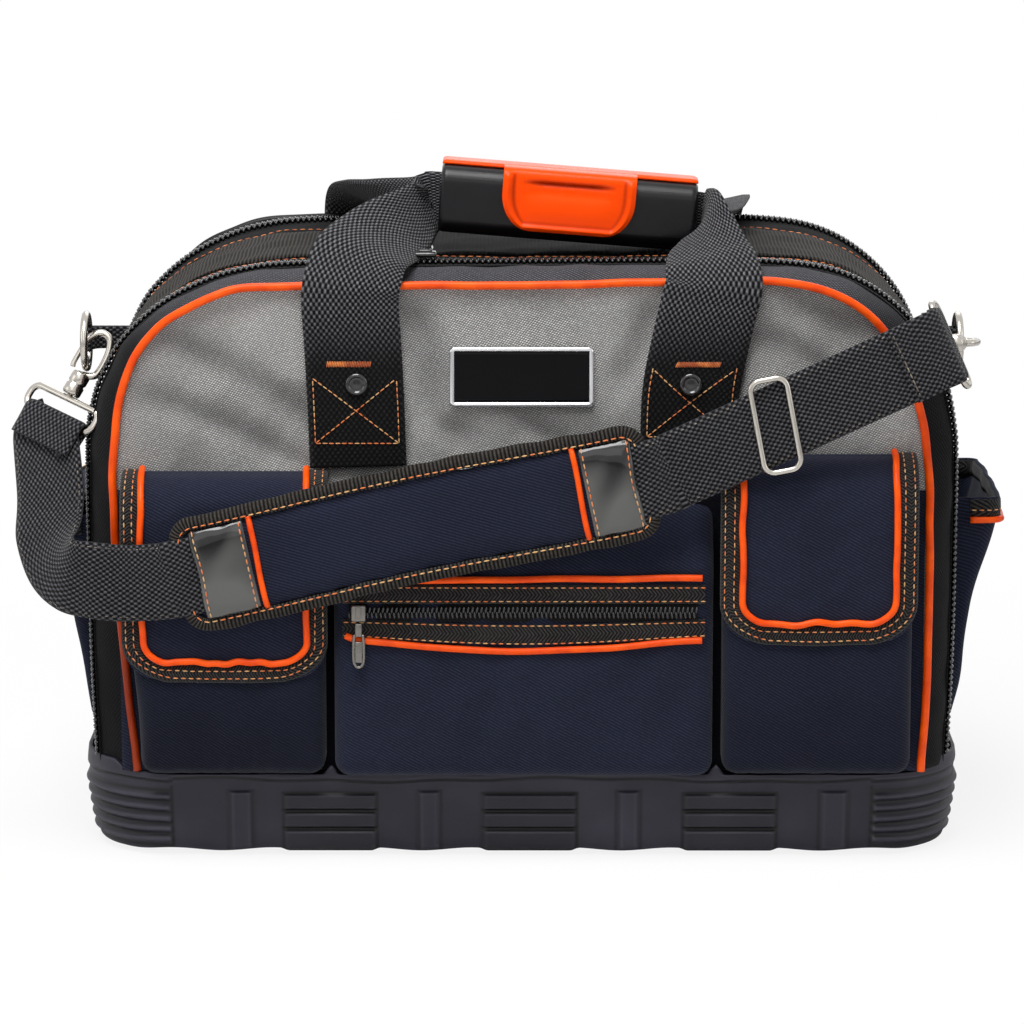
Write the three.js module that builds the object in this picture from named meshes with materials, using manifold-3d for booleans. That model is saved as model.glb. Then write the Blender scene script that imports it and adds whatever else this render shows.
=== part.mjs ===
// A zippered tool bag: a moulded base tub, an arched fabric shell in two compartments,
// pockets, a carrying handle with a moulded grip, and a padded shoulder strap.
// Millimetres, +Z up, +X to the bag's right as seen from the front, front towards -Y.
import * as THREE from 'three';
import { mergeVertices } from 'three/addons/utils/BufferGeometryUtils.js';
import Module from 'manifold-3d';

const wasm = await Module();
wasm.setup();

// Driving dimensions
const gap = 0.35;                 // air between pieces that touch
const clothThick = 3;             // padded fabric of the hoops
const panelThick = 4;             // padded front and rear panels

const archHalfWidth = 222;        // centre hoop, outside, half
const archTop = 310;              // top of the centre hoop
const archCorner = 96;            // radius of its upper corners
const frontHoopY = -84;           // front edge of the centre hoop
const rearHoopY = 80;             // rear edge of the centre hoop
const zipWidth = 6;               // zip chain across its teeth
const zipProud = 2;               // how far the chain stands out of the shell
const zipDepth = 4;               // how far the chain goes in behind the shell's outside
const bandDepth = 21;             // slanting band between zip and panel
const bandInset = 10.5;           // how far the band closes in towards the panel
const pipingRadius = 2;           // cord piping round the panels

const tubProud = 9.5;             // how far the base tub's rim stands out past the shell
const tubHalfWidth = archHalfWidth + tubProud;
const tubHalfDepth = 118;
const tubHeight = 44;
const tubCorner = 52;
const tubDraft = 6;               // how much the tub narrows to its foot
const tubWall = 4;
const tubFloor = 4;
const rimFlange = 16;             // width of the rim that the shell is sewn to
const rimFlangeThick = 5;
const footChamfer = 5;
const barLength = 47;             // raised bars on the tub's front and rear
const barHeight = 8;
const barPitch = 11.5;
const barProud = 2.2;
const barColumns = [-107, 0, 106];
const barRows = 3;
const barTop = 36;
const ribWidth = 9;               // upright ribs between the groups of bars
const ribPositions = [-155, -53, 53, 155];
const boardThick = 3;             // stiff board on the tub's floor
const boardClear = 1;             // room round it
const dividerThick = 3;           // wall between the two compartments
const dividerTop = 208;

const pocketDepth = 22;
const pocketWall = 2.5;
const leftPocketMargin = 17;      // from the shell's side in to the left pocket
const rightPocketMargin = 19.5;
const leftPocket = {
  left: leftPocketMargin - archHalfWidth, right: -101.5, top: 196, hinge: 205, flapBottom: 98,
};
const rightPocket = {
  left: 103.5, right: archHalfWidth - rightPocketMargin, top: 205, hinge: 214, flapBottom: 118,
};
const flapThick = 3;
const flapOverlap = 1.4;          // how far a flap reaches past its pocket's sides
const middlePocketHalf = 98.5;
const middlePocketCentre = 1;
const middlePocketShoulder = 158; // where the middle pocket's front leans back
const middlePocketTop = 190;
const middlePocketCrown = 4;      // depth of its flat top
const middleZipZ = 134;           // centre line of the middle pocket's zip
const middleZipHalf = 90;
const middleZipGap = 8;           // height of the slot that the zip closes
const middleZipProud = 1.2;

const sidePocketHalf = 62;        // half of its width, front to back
const sidePocketBottom = 58;
const sidePocketTop = 172;
const sidePocketFoot = 8;         // how far it stands out at its foot
const sidePocketMouth = 26;       // and at its mouth
const sideFlapDrop = 62;
const sideFlapTop = 186;

const plateWidth = 75;
const plateHeight = 32;
const plateZ = 253.5;
const plateBorder = 2.6;
const plateThick = 2.4;
const plateSunk = 0.8;            // how far the face lies behind its frame

const webbingThick = 2.4;
const handleWebbing = 50;
const legLeftX = -85;
const legRightX = 87;
const legPocketGap = 1.5;         // from a leg's sewn end down to the pocket below it
const gripRise = 25;              // the grip's centre, up from the crown of the shell
const gripCentre = new THREE.Vector3(24, -50, archTop + gripRise);
const gripLength = 134;
const gripTilt = THREE.MathUtils.degToRad(4.6);
const gripDepth = 40;
const gripHeight = 35.5;
const gripWall = 4.5;
const gripWebbing = 24;           // the handle webbing gathered inside the grip
const inlayThick = 2;
const inlayDepth = 24;
const tongueWidth = 70;
const tongueDrop = 30.5;
const rivetRadius = 6;
const rivetHeight = 2.6;
const rivetZ = 250;

const ringStand = 6;              // the strap's rings, out from the shell's sides
const ringX = archHalfWidth + ringStand;
const ringY = -72;
const ringDrop = 44;              // the rings' centres, down from the crown of the shell
const ringZ = archTop - ringDrop;
const ringRadius = 14;
const ringRod = 2;
const ringClear = 0.4;            // air between a ring and the tab round it
const tabWidth = 12;
const tabWall = 2;
const tabDrop = 2;                // room in front of the rod for the ring's curve
const hookRod = 1.9;
const hookNeck = hookRod + ringRod + 2 * gap;
const hookHalfWidth = 7;
const hookNose = 20.4;            // from the ring's rod up to the nose
const barrelRadius = 5;
const barrelLength = 13;
const swivelGap = 0.5;
const strapWidth = 40;
const strapClear = 1.6;           // air between the strap and the pockets' flaps
const loopRod = 1.8;
const loopHeight = 12;
const loopLead = 7;               // webbing that hangs straight from a loop
const padWidth = 56;
const padThick = 11;
const padMargin = 46;             // from the shell's left side in to the pad
const padCrown = 0.7;             // the pad bulges forward of the webbing it is sewn to
const padSeam = 9;                // webbing runs straight for this far off the pad's ends
const adjusterHeight = 48;
const adjusterWidth = 19;
const adjusterRod = 1.6;
const adjusterRun = 132;          // straight length of webbing that it slides on
const adjusterAlong = 60;         // where it sits on that length

const pullLength = 24;
const pullGap = 0.8;              // room for a pull's square end to turn
const pullWidth = 7;
const pullThick = 2;
const sliderLength = 12;
const frontSliderX = -50;
const rearSliderX = 45;
const sliderWidth = 10;
const sliderHeight = 4;
const middleSliderHalf = 4.5;     // half the height of the middle pocket's slider

// Colours as photographed
const charcoal = '#26272b';
const navy = '#1d2133';
const paleGrey = '#a3a3a3';
const orange = '#f2480e';
const blackPlastic = '#17171a';
const steel = '#c9c6c0';

const group = new THREE.Group();

function place(name, geometry, colour, roughness = 0.8, metalness = 0, parent = group) {
  const material = new THREE.MeshStandardMaterial({ color: colour, roughness, metalness });
  const mesh = new THREE.Mesh(geometry, material);
  mesh.name = name;
  parent.add(mesh);
  return mesh;
}

// Solids for boolean work, from a geometry and back
function toSolid(geometry) {
  const bare = geometry.clone();
  bare.deleteAttribute('normal');
  bare.deleteAttribute('uv');
  const merged = mergeVertices(bare, 1e-4);
  return new wasm.Manifold(new wasm.Mesh({
    numProp: 3,
    vertProperties: new Float32Array(merged.attributes.position.array),
    triVerts: new Uint32Array(merged.index.array),
  }));
}

function fromSolid(solid) {
  const out = solid.getMesh();
  const geometry = new THREE.BufferGeometry();
  const positions = new Float32Array(out.numVert * 3);
  for (let i = 0; i < out.numVert; i += 1) {
    for (let k = 0; k < 3; k += 1) {
      positions[i * 3 + k] = out.vertProperties[i * out.numProp + k];
    }
  }
  geometry.setAttribute('position', new THREE.BufferAttribute(positions, 3));
  geometry.setIndex(new THREE.BufferAttribute(new Uint32Array(out.triVerts), 1));
  return geometry;
}

const join = (...parts) => fromSolid(parts.map(toSolid).reduce((a, b) => a.add(b)));
const cut = (body, ...tools) => fromSolid(tools.map(toSolid).reduce((a, b) => a.subtract(b), toSolid(body)));

function box(x0, x1, y0, y1, z0, z1) {
  const geometry = new THREE.BoxGeometry(x1 - x0, y1 - y0, z1 - z0);
  return geometry.translate((x0 + x1) / 2, (y0 + y1) / 2, (z0 + z1) / 2);
}

// A solid between rings of points: each ring has the same number of points, in the same
// turning sense. Open rows get end caps, fans from the ring's first point or its centre.
function skin(rings, closed = false) {
  const count = rings[0].length;
  const points = rings.flat();
  const positions = points.flatMap((p) => [p.x, p.y, p.z]);
  const index = [];
  const rows = closed ? rings.length : rings.length - 1;
  for (let r = 0; r < rows; r += 1) {
    const a = r * count;
    const b = ((r + 1) % rings.length) * count;
    for (let i = 0; i < count; i += 1) {
      const j = (i + 1) % count;
      index.push(a + i, a + j, b + j, a + i, b + j, b + i);
    }
  }
  if (!closed) {
    const last = (rings.length - 1) * count;
    for (let i = 1; i < count - 1; i += 1) {
      index.push(0, i + 1, i);
      index.push(last, last + i, last + i + 1);
    }
  }
  const geometry = new THREE.BufferGeometry();
  geometry.setAttribute('position', new THREE.Float32BufferAttribute(positions, 3));
  geometry.setIndex(index);
  return outward(geometry);
}

// Turns a closed geometry's faces outwards
function outward(geometry) {
  const p = geometry.attributes.position;
  const index = geometry.index.array;
  const [a, b, c] = [new THREE.Vector3(), new THREE.Vector3(), new THREE.Vector3()];
  let volume = 0;
  for (let i = 0; i < index.length; i += 3) {
    a.fromBufferAttribute(p, index[i]);
    b.fromBufferAttribute(p, index[i + 1]);
    c.fromBufferAttribute(p, index[i + 2]);
    volume += a.dot(b.cross(c));
  }
  if (volume < 0) {
    for (let i = 0; i < index.length; i += 3) {
      [index[i + 1], index[i + 2]] = [index[i + 2], index[i + 1]];
    }
  }
  return geometry;
}

// The arch that every hoop follows, as points with outward normals in the XZ plane
const shellBottom = tubHeight + gap;

function archPath(cornerSteps = 6) {
  const path = [];
  const cx = archHalfWidth - archCorner;
  const cz = archTop - archCorner;
  const add = (x, z, nx, nz) => path.push({ x, z, nx, nz });
  add(-archHalfWidth, shellBottom, -1, 0);
  add(-archHalfWidth, (shellBottom + cz) / 2, -1, 0);
  for (let i = 0; i <= cornerSteps; i += 1) {
    const turn = (Math.PI / 2) * (1 - i / cornerSteps);
    add(-cx - archCorner * Math.sin(turn), cz + archCorner * Math.cos(turn), -Math.sin(turn), Math.cos(turn));
  }
  for (let i = 0; i <= cornerSteps; i += 1) {
    const turn = (Math.PI / 2) * (i / cornerSteps);
    add(cx + archCorner * Math.sin(turn), cz + archCorner * Math.cos(turn), Math.sin(turn), Math.cos(turn));
  }
  add(archHalfWidth, (shellBottom + cz) / 2, 1, 0);
  add(archHalfWidth, shellBottom, 1, 0);
  return path;
}

// A hoop: a section of [offset outwards from the arch, y] pairs carried round the arch
function hoop(section) {
  return skin(archPath().map((p) => section.map(([offset, y]) => (
    new THREE.Vector3(p.x + p.nx * offset, y, p.z + p.nz * offset)))));
}

function archPanel(inset, y0, y1) {
  const shape = new THREE.Shape(archPath().map((p) => (
    new THREE.Vector2(p.x - p.nx * inset, p.z - p.nz * inset))));
  const geometry = new THREE.ExtrudeGeometry(shape, { depth: y1 - y0, bevelEnabled: false });
  geometry.rotateX(Math.PI / 2);
  return geometry.translate(0, y1, 0);
}

function roundSection(offset, y, radius, sides = 8) {
  return Array.from({ length: sides }, (_, i) => {
    const turn = ((i + 0.5) / sides) * 2 * Math.PI;
    return [offset + radius * Math.cos(turn), y + radius * Math.sin(turn)];
  });
}

// A rounded rectangle in the XY plane, as points
function roundedOutline(halfX, halfY, radius, steps = 5) {
  const points = [];
  const corners = [[1, 1, 0], [-1, 1, 1], [-1, -1, 2], [1, -1, 3]];
  for (const [sx, sy, quarter] of corners) {
    for (let i = 0; i <= steps; i += 1) {
      const turn = (quarter + i / steps) * Math.PI / 2;
      points.push([
        sx * (halfX - radius) + radius * Math.cos(turn),
        sy * (halfY - radius) + radius * Math.sin(turn),
      ]);
    }
  }
  return points;
}

// Base tub
function tubRing(z, inset) {
  return roundedOutline(tubHalfWidth - inset, tubHalfDepth - inset, tubCorner - inset)
    .map(([x, y]) => new THREE.Vector3(x, y, z));
}

function tubInset(z) {
  return tubDraft * (1 - z / tubHeight);
}

const tubShape = skin([
  tubRing(0, tubInset(0) + footChamfer),
  tubRing(footChamfer, tubInset(footChamfer)),
  tubRing(tubHeight, 0),
]);
const wellTop = tubHeight - rimFlangeThick;
const tubWell = skin([
  tubRing(tubFloor, tubWall + tubDraft),
  tubRing(wellTop, tubWall + tubInset(wellTop)),
]);
const tubMouth = skin([
  tubRing(wellTop - 1, rimFlange),
  tubRing(tubHeight + 1, rimFlange),
]);
const mouldings = [];
for (const side of [-1, 1]) {
  const face = side * tubHalfDepth;
  const barY = [face - side * tubDraft, face + side * barProud].sort((a, b) => a - b);
  for (const x of barColumns) {
    for (let row = 0; row < barRows; row += 1) {
      const z = barTop - row * barPitch;
      mouldings.push(box(x - barLength / 2, x + barLength / 2, ...barY, z - barHeight, z));
    }
  }
  for (const x of ribPositions) {
    mouldings.push(box(x - ribWidth / 2, x + ribWidth / 2, ...barY, footChamfer, barTop));
  }
}
let tub = toSolid(tubShape);
for (const moulding of mouldings) {
  tub = tub.add(toSolid(moulding));
}
tub = tub.subtract(toSolid(tubWell)).subtract(toSolid(tubMouth));
place('base_tub', fromSolid(tub), blackPlastic, 0.5);

const boardInset = tubWall + tubDraft + boardClear;
place('base_board', skin([
  tubRing(tubFloor + gap, boardInset),
  tubRing(tubFloor + gap + boardThick, boardInset),
]), charcoal, 0.9);

// Shell: centre hoop, two slanting bands, panels, piping and the two zip chains
place('centre_hoop', hoop([
  [0, frontHoopY + gap], [0, rearHoopY - gap],
  [-clothThick, rearHoopY - gap], [-clothThick, frontHoopY + gap],
]), charcoal, 0.85);

const frontZipY = [frontHoopY - zipWidth, frontHoopY];
const rearZipY = [rearHoopY, rearHoopY + zipWidth];
for (const [name, [y0, y1]] of [['front_zip_chain', frontZipY], ['rear_zip_chain', rearZipY]]) {
  place(name, hoop([
    [zipProud - 1, y0], [zipProud, (y0 + y1) / 2], [zipProud - 1, y1], [-zipDepth, y1], [-zipDepth, y0],
  ]), blackPlastic, 0.35);
}

// side is -1 at the front and 1 at the rear
function bandSection(side, zipY) {
  const start = zipY + side * gap;
  const end = zipY + side * bandDepth;
  return [
    [0, start], [0, start + side * 2], [-bandInset, end],
    [-bandInset - clothThick, end - side * 2], [-zipDepth, start],
  ];
}
const panelInset = bandInset + clothThick + gap;
const frontBandEnd = frontZipY[0] - bandDepth;
const rearBandEnd = rearZipY[1] + bandDepth;
const frontFace = frontBandEnd - 0.5;
const rearFace = rearBandEnd + 0.5;
const pipingInset = bandInset + clothThick / 2;
place('front_band', hoop(bandSection(-1, frontZipY[0])), charcoal, 0.85);
place('rear_band', hoop(bandSection(1, rearZipY[1])), charcoal, 0.85);
place('front_panel', archPanel(panelInset, frontFace, frontFace + panelThick), paleGrey, 0.9);
place('rear_panel', archPanel(panelInset, rearFace - panelThick, rearFace), charcoal, 0.9);
const pipingOff = gap + pipingRadius;
place('front_piping', hoop(roundSection(-pipingInset, frontFace - pipingOff, pipingRadius)), orange, 0.5);
place('rear_piping', hoop(roundSection(-pipingInset, rearFace + pipingOff, pipingRadius)), blackPlastic, 0.5);

const dividerHalf = archHalfWidth - clothThick - gap;
place('centre_divider', box(-dividerHalf, dividerHalf, -dividerThick / 2, dividerThick / 2,
  tubHeight + gap, dividerTop), charcoal, 0.9);

// Front pockets, open at the top, with hinged flaps
const pocketBack = frontFace - gap;
const pocketFront = pocketBack - pocketDepth;

function pocketSolid(left, right, top) {
  const outer = box(left, right, pocketFront, pocketBack, tubHeight + gap, top);
  const inner = box(left + pocketWall, right - pocketWall, pocketFront + pocketWall, pocketBack - pocketWall,
    tubHeight + gap + pocketWall, top + 1);
  return cut(outer, inner);
}

function flapSolid(pocket) {
  const x0 = pocket.left - flapOverlap;
  const x1 = pocket.right + flapOverlap;
  const front = pocketFront - gap - flapThick;
  const profile = new THREE.Shape();
  profile.moveTo(pocketBack, pocket.hinge);
  profile.lineTo(pocketBack, pocket.hinge - flapThick);
  profile.lineTo(pocketFront - gap, pocket.top + gap);
  profile.lineTo(pocketFront - gap, pocket.flapBottom);
  profile.lineTo(front, pocket.flapBottom);
  profile.lineTo(front, pocket.top + gap);
  profile.lineTo(front + flapThick, pocket.top + gap + flapThick);
  const geometry = new THREE.ExtrudeGeometry(profile, { depth: x1 - x0, bevelEnabled: false });
  geometry.applyMatrix4(new THREE.Matrix4().makeBasis(
    new THREE.Vector3(0, 1, 0), new THREE.Vector3(0, 0, 1), new THREE.Vector3(1, 0, 0)));
  return geometry.translate(x0, 0, 0);
}

place('left_pocket', pocketSolid(leftPocket.left, leftPocket.right, leftPocket.top), navy, 0.9);
place('right_pocket', pocketSolid(rightPocket.left, rightPocket.right, rightPocket.top), navy, 0.9);
place('left_pocket_flap', flapSolid(leftPocket), navy, 0.9);
place('right_pocket_flap', flapSolid(rightPocket), navy, 0.9);

// Middle pocket: closed all round, leaning back at its top, with a zipped slot in its face
function middleProfile(inset) {
  const front = pocketFront + inset;
  const back = pocketBack - inset;
  const shape = new THREE.Shape();
  shape.moveTo(back, tubHeight + gap + inset);
  shape.lineTo(front, tubHeight + gap + inset);
  shape.lineTo(front, middlePocketShoulder);
  shape.lineTo(back - middlePocketCrown, middlePocketTop - inset);
  shape.lineTo(back, middlePocketTop - inset);
  return shape;
}

function middlePrism(inset) {
  const half = middlePocketHalf - inset;
  const geometry = new THREE.ExtrudeGeometry(middleProfile(inset), { depth: 2 * half, bevelEnabled: false });
  geometry.applyMatrix4(new THREE.Matrix4().makeBasis(
    new THREE.Vector3(0, 1, 0), new THREE.Vector3(0, 0, 1), new THREE.Vector3(1, 0, 0)));
  return geometry.translate(middlePocketCentre - half, 0, 0);
}
const slotHalf = middleZipGap / 2;
const zipLeft = middlePocketCentre - middleZipHalf;
const zipRight = middlePocketCentre + middleZipHalf;
const zipFoot = middleZipZ - slotHalf;
const zipHead = middleZipZ + slotHalf;
place('middle_pocket', cut(middlePrism(0), middlePrism(pocketWall),
  box(zipLeft, zipRight, pocketFront - 1, pocketFront + pocketWall + 1, zipFoot, zipHead)), navy, 0.9);
const middleZipFront = pocketFront - middleZipProud;
place('middle_zip_chain', box(zipLeft + gap, zipRight - gap,
  middleZipFront, pocketFront + pocketWall, zipFoot + gap, zipHead - gap), blackPlastic, 0.35);

// Side pockets stand out more at the mouth than at the foot
const sideFace = archHalfWidth + gap;

function sidePocket(side) {
  const ring = (near, out, half, z) => [[out, -half], [out, half], [near, half], [near, -half]]
    .map(([x, y]) => new THREE.Vector3(side * (sideFace + x), y, z));
  const rise = (sidePocketMouth - sidePocketFoot) / (sidePocketTop - sidePocketBottom);
  const inner = sidePocketHalf - pocketWall;
  return cut(
    skin([
      ring(0, sidePocketFoot, sidePocketHalf, sidePocketBottom),
      ring(0, sidePocketMouth, sidePocketHalf, sidePocketTop),
    ]),
    skin([
      ring(pocketWall, sidePocketFoot + (rise - 1) * pocketWall, inner, sidePocketBottom + pocketWall),
      ring(pocketWall, sidePocketMouth + rise - pocketWall, inner, sidePocketTop + 1),
    ]),
  );
}
place('left_side_pocket', sidePocket(-1), navy, 0.9);
place('right_side_pocket', sidePocket(1), navy, 0.9);

// Flap over the left side pocket: hinged on the shell above the mouth
const sideFlapOut = sideFace + sidePocketMouth + gap;
const sideFlapProfile = new THREE.Shape();
sideFlapProfile.moveTo(-sideFace, sideFlapTop);
sideFlapProfile.lineTo(-sideFace, sideFlapTop - flapThick);
sideFlapProfile.lineTo(-sideFlapOut, sidePocketTop + gap);
sideFlapProfile.lineTo(-sideFlapOut, sideFlapTop - sideFlapDrop);
sideFlapProfile.lineTo(-sideFlapOut - flapThick, sideFlapTop - sideFlapDrop);
sideFlapProfile.lineTo(-sideFlapOut - flapThick, sidePocketTop + flapThick);
const sideFlap = new THREE.ExtrudeGeometry(
  sideFlapProfile, { depth: 2 * sidePocketHalf, bevelEnabled: false });
sideFlap.rotateX(Math.PI / 2);
sideFlap.translate(0, sidePocketHalf, 0);
place('left_side_flap', sideFlap, navy, 0.9);

// Name plate: a bright frame round a bare black face
const plateBack = frontFace - gap;

function plateBox(inset, y0, y1) {
  const halfX = plateWidth / 2 - inset;
  const halfZ = plateHeight / 2 - inset;
  return box(-halfX, halfX, y0, y1, plateZ - halfZ, plateZ + halfZ);
}
const plateFront = plateBack - plateThick;
place('plate_frame', cut(plateBox(0, plateFront, plateBack),
  plateBox(plateBorder, plateFront - 1, plateBack + 1)), steel, 0.2, 1);
place('plate_face', plateBox(plateBorder + gap, plateFront + plateSunk, plateBack), blackPlastic, 0.15);

// Webbing: a flat band through stations, each [centre, direction across, width]
function webbing(stations, thick = webbingThick) {
  const centres = stations.map(([c]) => new THREE.Vector3(...c));
  return skin(stations.map(([, across, width], i) => {
    const run = centres[Math.min(i + 1, centres.length - 1)].clone().sub(centres[Math.max(i - 1, 0)]);
    const normal = new THREE.Vector3().crossVectors(new THREE.Vector3(...across), run).normalize();
    const edge = new THREE.Vector3().crossVectors(run, normal).normalize();
    const corner = (a, b) => centres[i].clone()
      .addScaledVector(edge, (a * width) / 2).addScaledVector(normal, (b * thick) / 2);
    return [corner(1, 1), corner(1, -1), corner(-1, -1), corner(-1, 1)];
  }));
}

// Handle webbing: sewn to a panel, up over the piping, and along inside the grip
function gripPoint(along, y, up) {
  return [gripCentre.x + along * Math.cos(gripTilt) + up * Math.sin(gripTilt),
    gripCentre.y + y, gripCentre.z - along * Math.sin(gripTilt) + up * Math.cos(gripTilt)];
}

function handleStations(side) {
  const face = side < 0 ? frontFace : rearFace;
  const flat = face + side * (webbingThick / 2 + gap);
  const proud = face + side * (2 * pipingRadius + 3 * gap + webbingThick / 2);
  const inGrip = side * 3;
  const end = gripLength / 2 + 1.5;
  const pipingZ = archTop - pipingInset;
  const bottomOf = (outer) => (outer < 0 ? leftPocket : rightPocket).hinge + legPocketGap;
  const leg = (x, outer) => [
    [[x, flat, bottomOf(outer)], [outer, 0, 0], handleWebbing],
    [[x, flat, pipingZ - 22], [outer, 0, 0], handleWebbing],
    [[x + outer, proud, pipingZ - 7], [outer, 0, 0], handleWebbing],
    [[x + outer * 2, proud, pipingZ + 6], [outer, 0, 0], handleWebbing],
    [[x + outer, proud - side * 14, archTop + 14], [outer, 0, 0], handleWebbing],
  ];
  const towards = (t) => proud + (gripCentre.y - proud) * t;
  const leftEnd = gripPoint(-end, inGrip, 0);
  const rightEnd = gripPoint(end, inGrip, 0);
  return [
    ...leg(legLeftX, -1),
    [[-77, towards(0.45), archTop + 16], [-1, 0, 0.2], handleWebbing],
    [[-72, towards(0.79), archTop + 28], [-0.5, -side * 0.4, 0.8], 37],
    [[leftEnd[0] - 7, leftEnd[1] + side * 2, leftEnd[2] + 1], [0, -side * 0.1, 1], gripWebbing],
    [leftEnd, [0, 0, 1], gripWebbing],
    [rightEnd, [0, 0, 1], gripWebbing],
    [[rightEnd[0] + 6, rightEnd[1] + side * 3, rightEnd[2]], [0, -side * 0.12, 1], gripWebbing + 3],
    [[110, towards(0.72), archTop + 14], [0.8, -side * 0.3, 0.5], 33],
    [[100, towards(0.4), archTop + 12], [1, 0, 0.1], handleWebbing],
    ...leg(legRightX, 1).reverse(),
  ];
}
place('front_handle_webbing', webbing(handleStations(-1)), charcoal, 0.9);
place('rear_handle_webbing', webbing(handleStations(1)), charcoal, 0.9);

// Grip: a moulded channel, open to the rear, that closes over both runs of webbing
const gripGroup = new THREE.Group();
gripGroup.position.copy(gripCentre);
gripGroup.rotation.y = gripTilt;
group.add(gripGroup);
const gripSection = roundedOutline(gripDepth / 2, gripHeight / 2, 9, 4);
const alongX = (x) => gripSection.map(([y, z]) => new THREE.Vector3(x, y, z));
const gripBlock = skin([alongX(-gripLength / 2), alongX(gripLength / 2)]);
const channelFront = -3 - webbingThick / 2 - gap;
const channelHalf = gripWebbing / 2 + 3;
const channel = box(-gripLength / 2 - 1, gripLength / 2 + 1, channelFront, gripDepth / 2 + 1,
  -channelHalf, gripHeight / 2 - gripWall);
place('grip_body', cut(gripBlock, channel), blackPlastic, 0.35, 0, gripGroup);

const tongueSeat = gripDepth / 2 + gap;
const inlayFoot = gripHeight / 2 + gap;
const inlayTop = inlayFoot + inlayThick;
const tongueHalf = tongueWidth / 2;
const tongueFoot = gripHeight / 2 - tongueDrop;
const tongueBend = gripHeight / 2 - tongueDrop / 2;
const tongue = new THREE.Shape();
tongue.moveTo(-tongueHalf, inlayFoot);
tongue.lineTo(-tongueHalf, tongueBend);
tongue.quadraticCurveTo(-tongueHalf, tongueFoot, -tongueHalf / 2, tongueFoot);
tongue.lineTo(tongueHalf / 2, tongueFoot);
tongue.quadraticCurveTo(tongueHalf, tongueFoot, tongueHalf, tongueBend);
tongue.lineTo(tongueHalf, inlayFoot);
const tonguePlate = new THREE.ExtrudeGeometry(
  tongue, { depth: inlayThick, bevelEnabled: false, curveSegments: 5 });
tonguePlate.rotateX(Math.PI / 2);
tonguePlate.translate(0, -tongueSeat, 0);
const tongueFront = -tongueSeat - inlayThick;
const inlayFront = -inlayDepth / 2;
const strip = box(-gripLength / 2, gripLength / 2, inlayFront, -inlayFront - 2, inlayFoot, inlayTop);
const bridge = box(-tongueHalf, tongueHalf, tongueFront, inlayFront + 1, inlayFoot, inlayTop);
const lip = box(-tongueHalf, tongueHalf, tongueFront, -tongueSeat, inlayFoot - 1, inlayFoot + 1);
place('grip_inlay', join(strip, bridge, lip, tonguePlate), orange, 0.35, 0, gripGroup);

// Domed rivets through the handle webbing
function rivet(x, side) {
  const profile = [
    [0, 0], [rivetRadius, 0], [rivetRadius, rivetHeight * 0.4],
    [rivetRadius * 0.6, rivetHeight], [0, rivetHeight],
  ];
  const geometry = new THREE.LatheGeometry(profile.map(([r, h]) => new THREE.Vector2(r, h)), 12);
  geometry.rotateX(side < 0 ? Math.PI : 0);
  const face = side < 0 ? frontFace : rearFace;
  return geometry.translate(x, face + side * (webbingThick + 2 * gap), rivetZ);
}
place('front_left_rivet', rivet(legLeftX, -1), blackPlastic, 0.25, 0.6);
place('front_right_rivet', rivet(legRightX, -1), blackPlastic, 0.25, 0.6);
place('rear_left_rivet', rivet(legLeftX, 1), blackPlastic, 0.25, 0.6);
place('rear_right_rivet', rivet(legRightX, 1), blackPlastic, 0.25, 0.6);

// Rods: open along a path, or closed into a loop in one plane
function rodAlong(points, radius, sides = 6) {
  const centres = points.map((p) => new THREE.Vector3(...p));
  return skin(centres.map((c, i) => {
    const next = centres[Math.min(i + 1, centres.length - 1)];
    const run = next.clone().sub(centres[Math.max(i - 1, 0)]).normalize();
    const u = new THREE.Vector3(0, 1, 0);
    const v = new THREE.Vector3().crossVectors(run, u).normalize();
    return circleAt(c, u, v, radius, sides);
  }));
}

function circleAt(centre, u, v, radius, sides) {
  return Array.from({ length: sides }, (_, k) => {
    const turn = (k / sides) * 2 * Math.PI;
    return centre.clone()
      .addScaledVector(u, radius * Math.cos(turn)).addScaledVector(v, radius * Math.sin(turn));
  });
}

// A loop of rod in the plane z = 0, through points given as [x, y]
function rodLoop(points, radius, sides = 6) {
  const centres = points.map(([x, y]) => new THREE.Vector3(x, y, 0));
  const count = centres.length;
  return skin(centres.map((c, i) => {
    const before = c.clone().sub(centres[(i + count - 1) % count]).normalize();
    const after = centres[(i + 1) % count].clone().sub(c).normalize();
    const run = before.add(after).normalize();
    const out = new THREE.Vector3(run.y, -run.x, 0);
    return circleAt(c, out, new THREE.Vector3(0, 0, 1), radius, sides);
  }), true);
}

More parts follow.
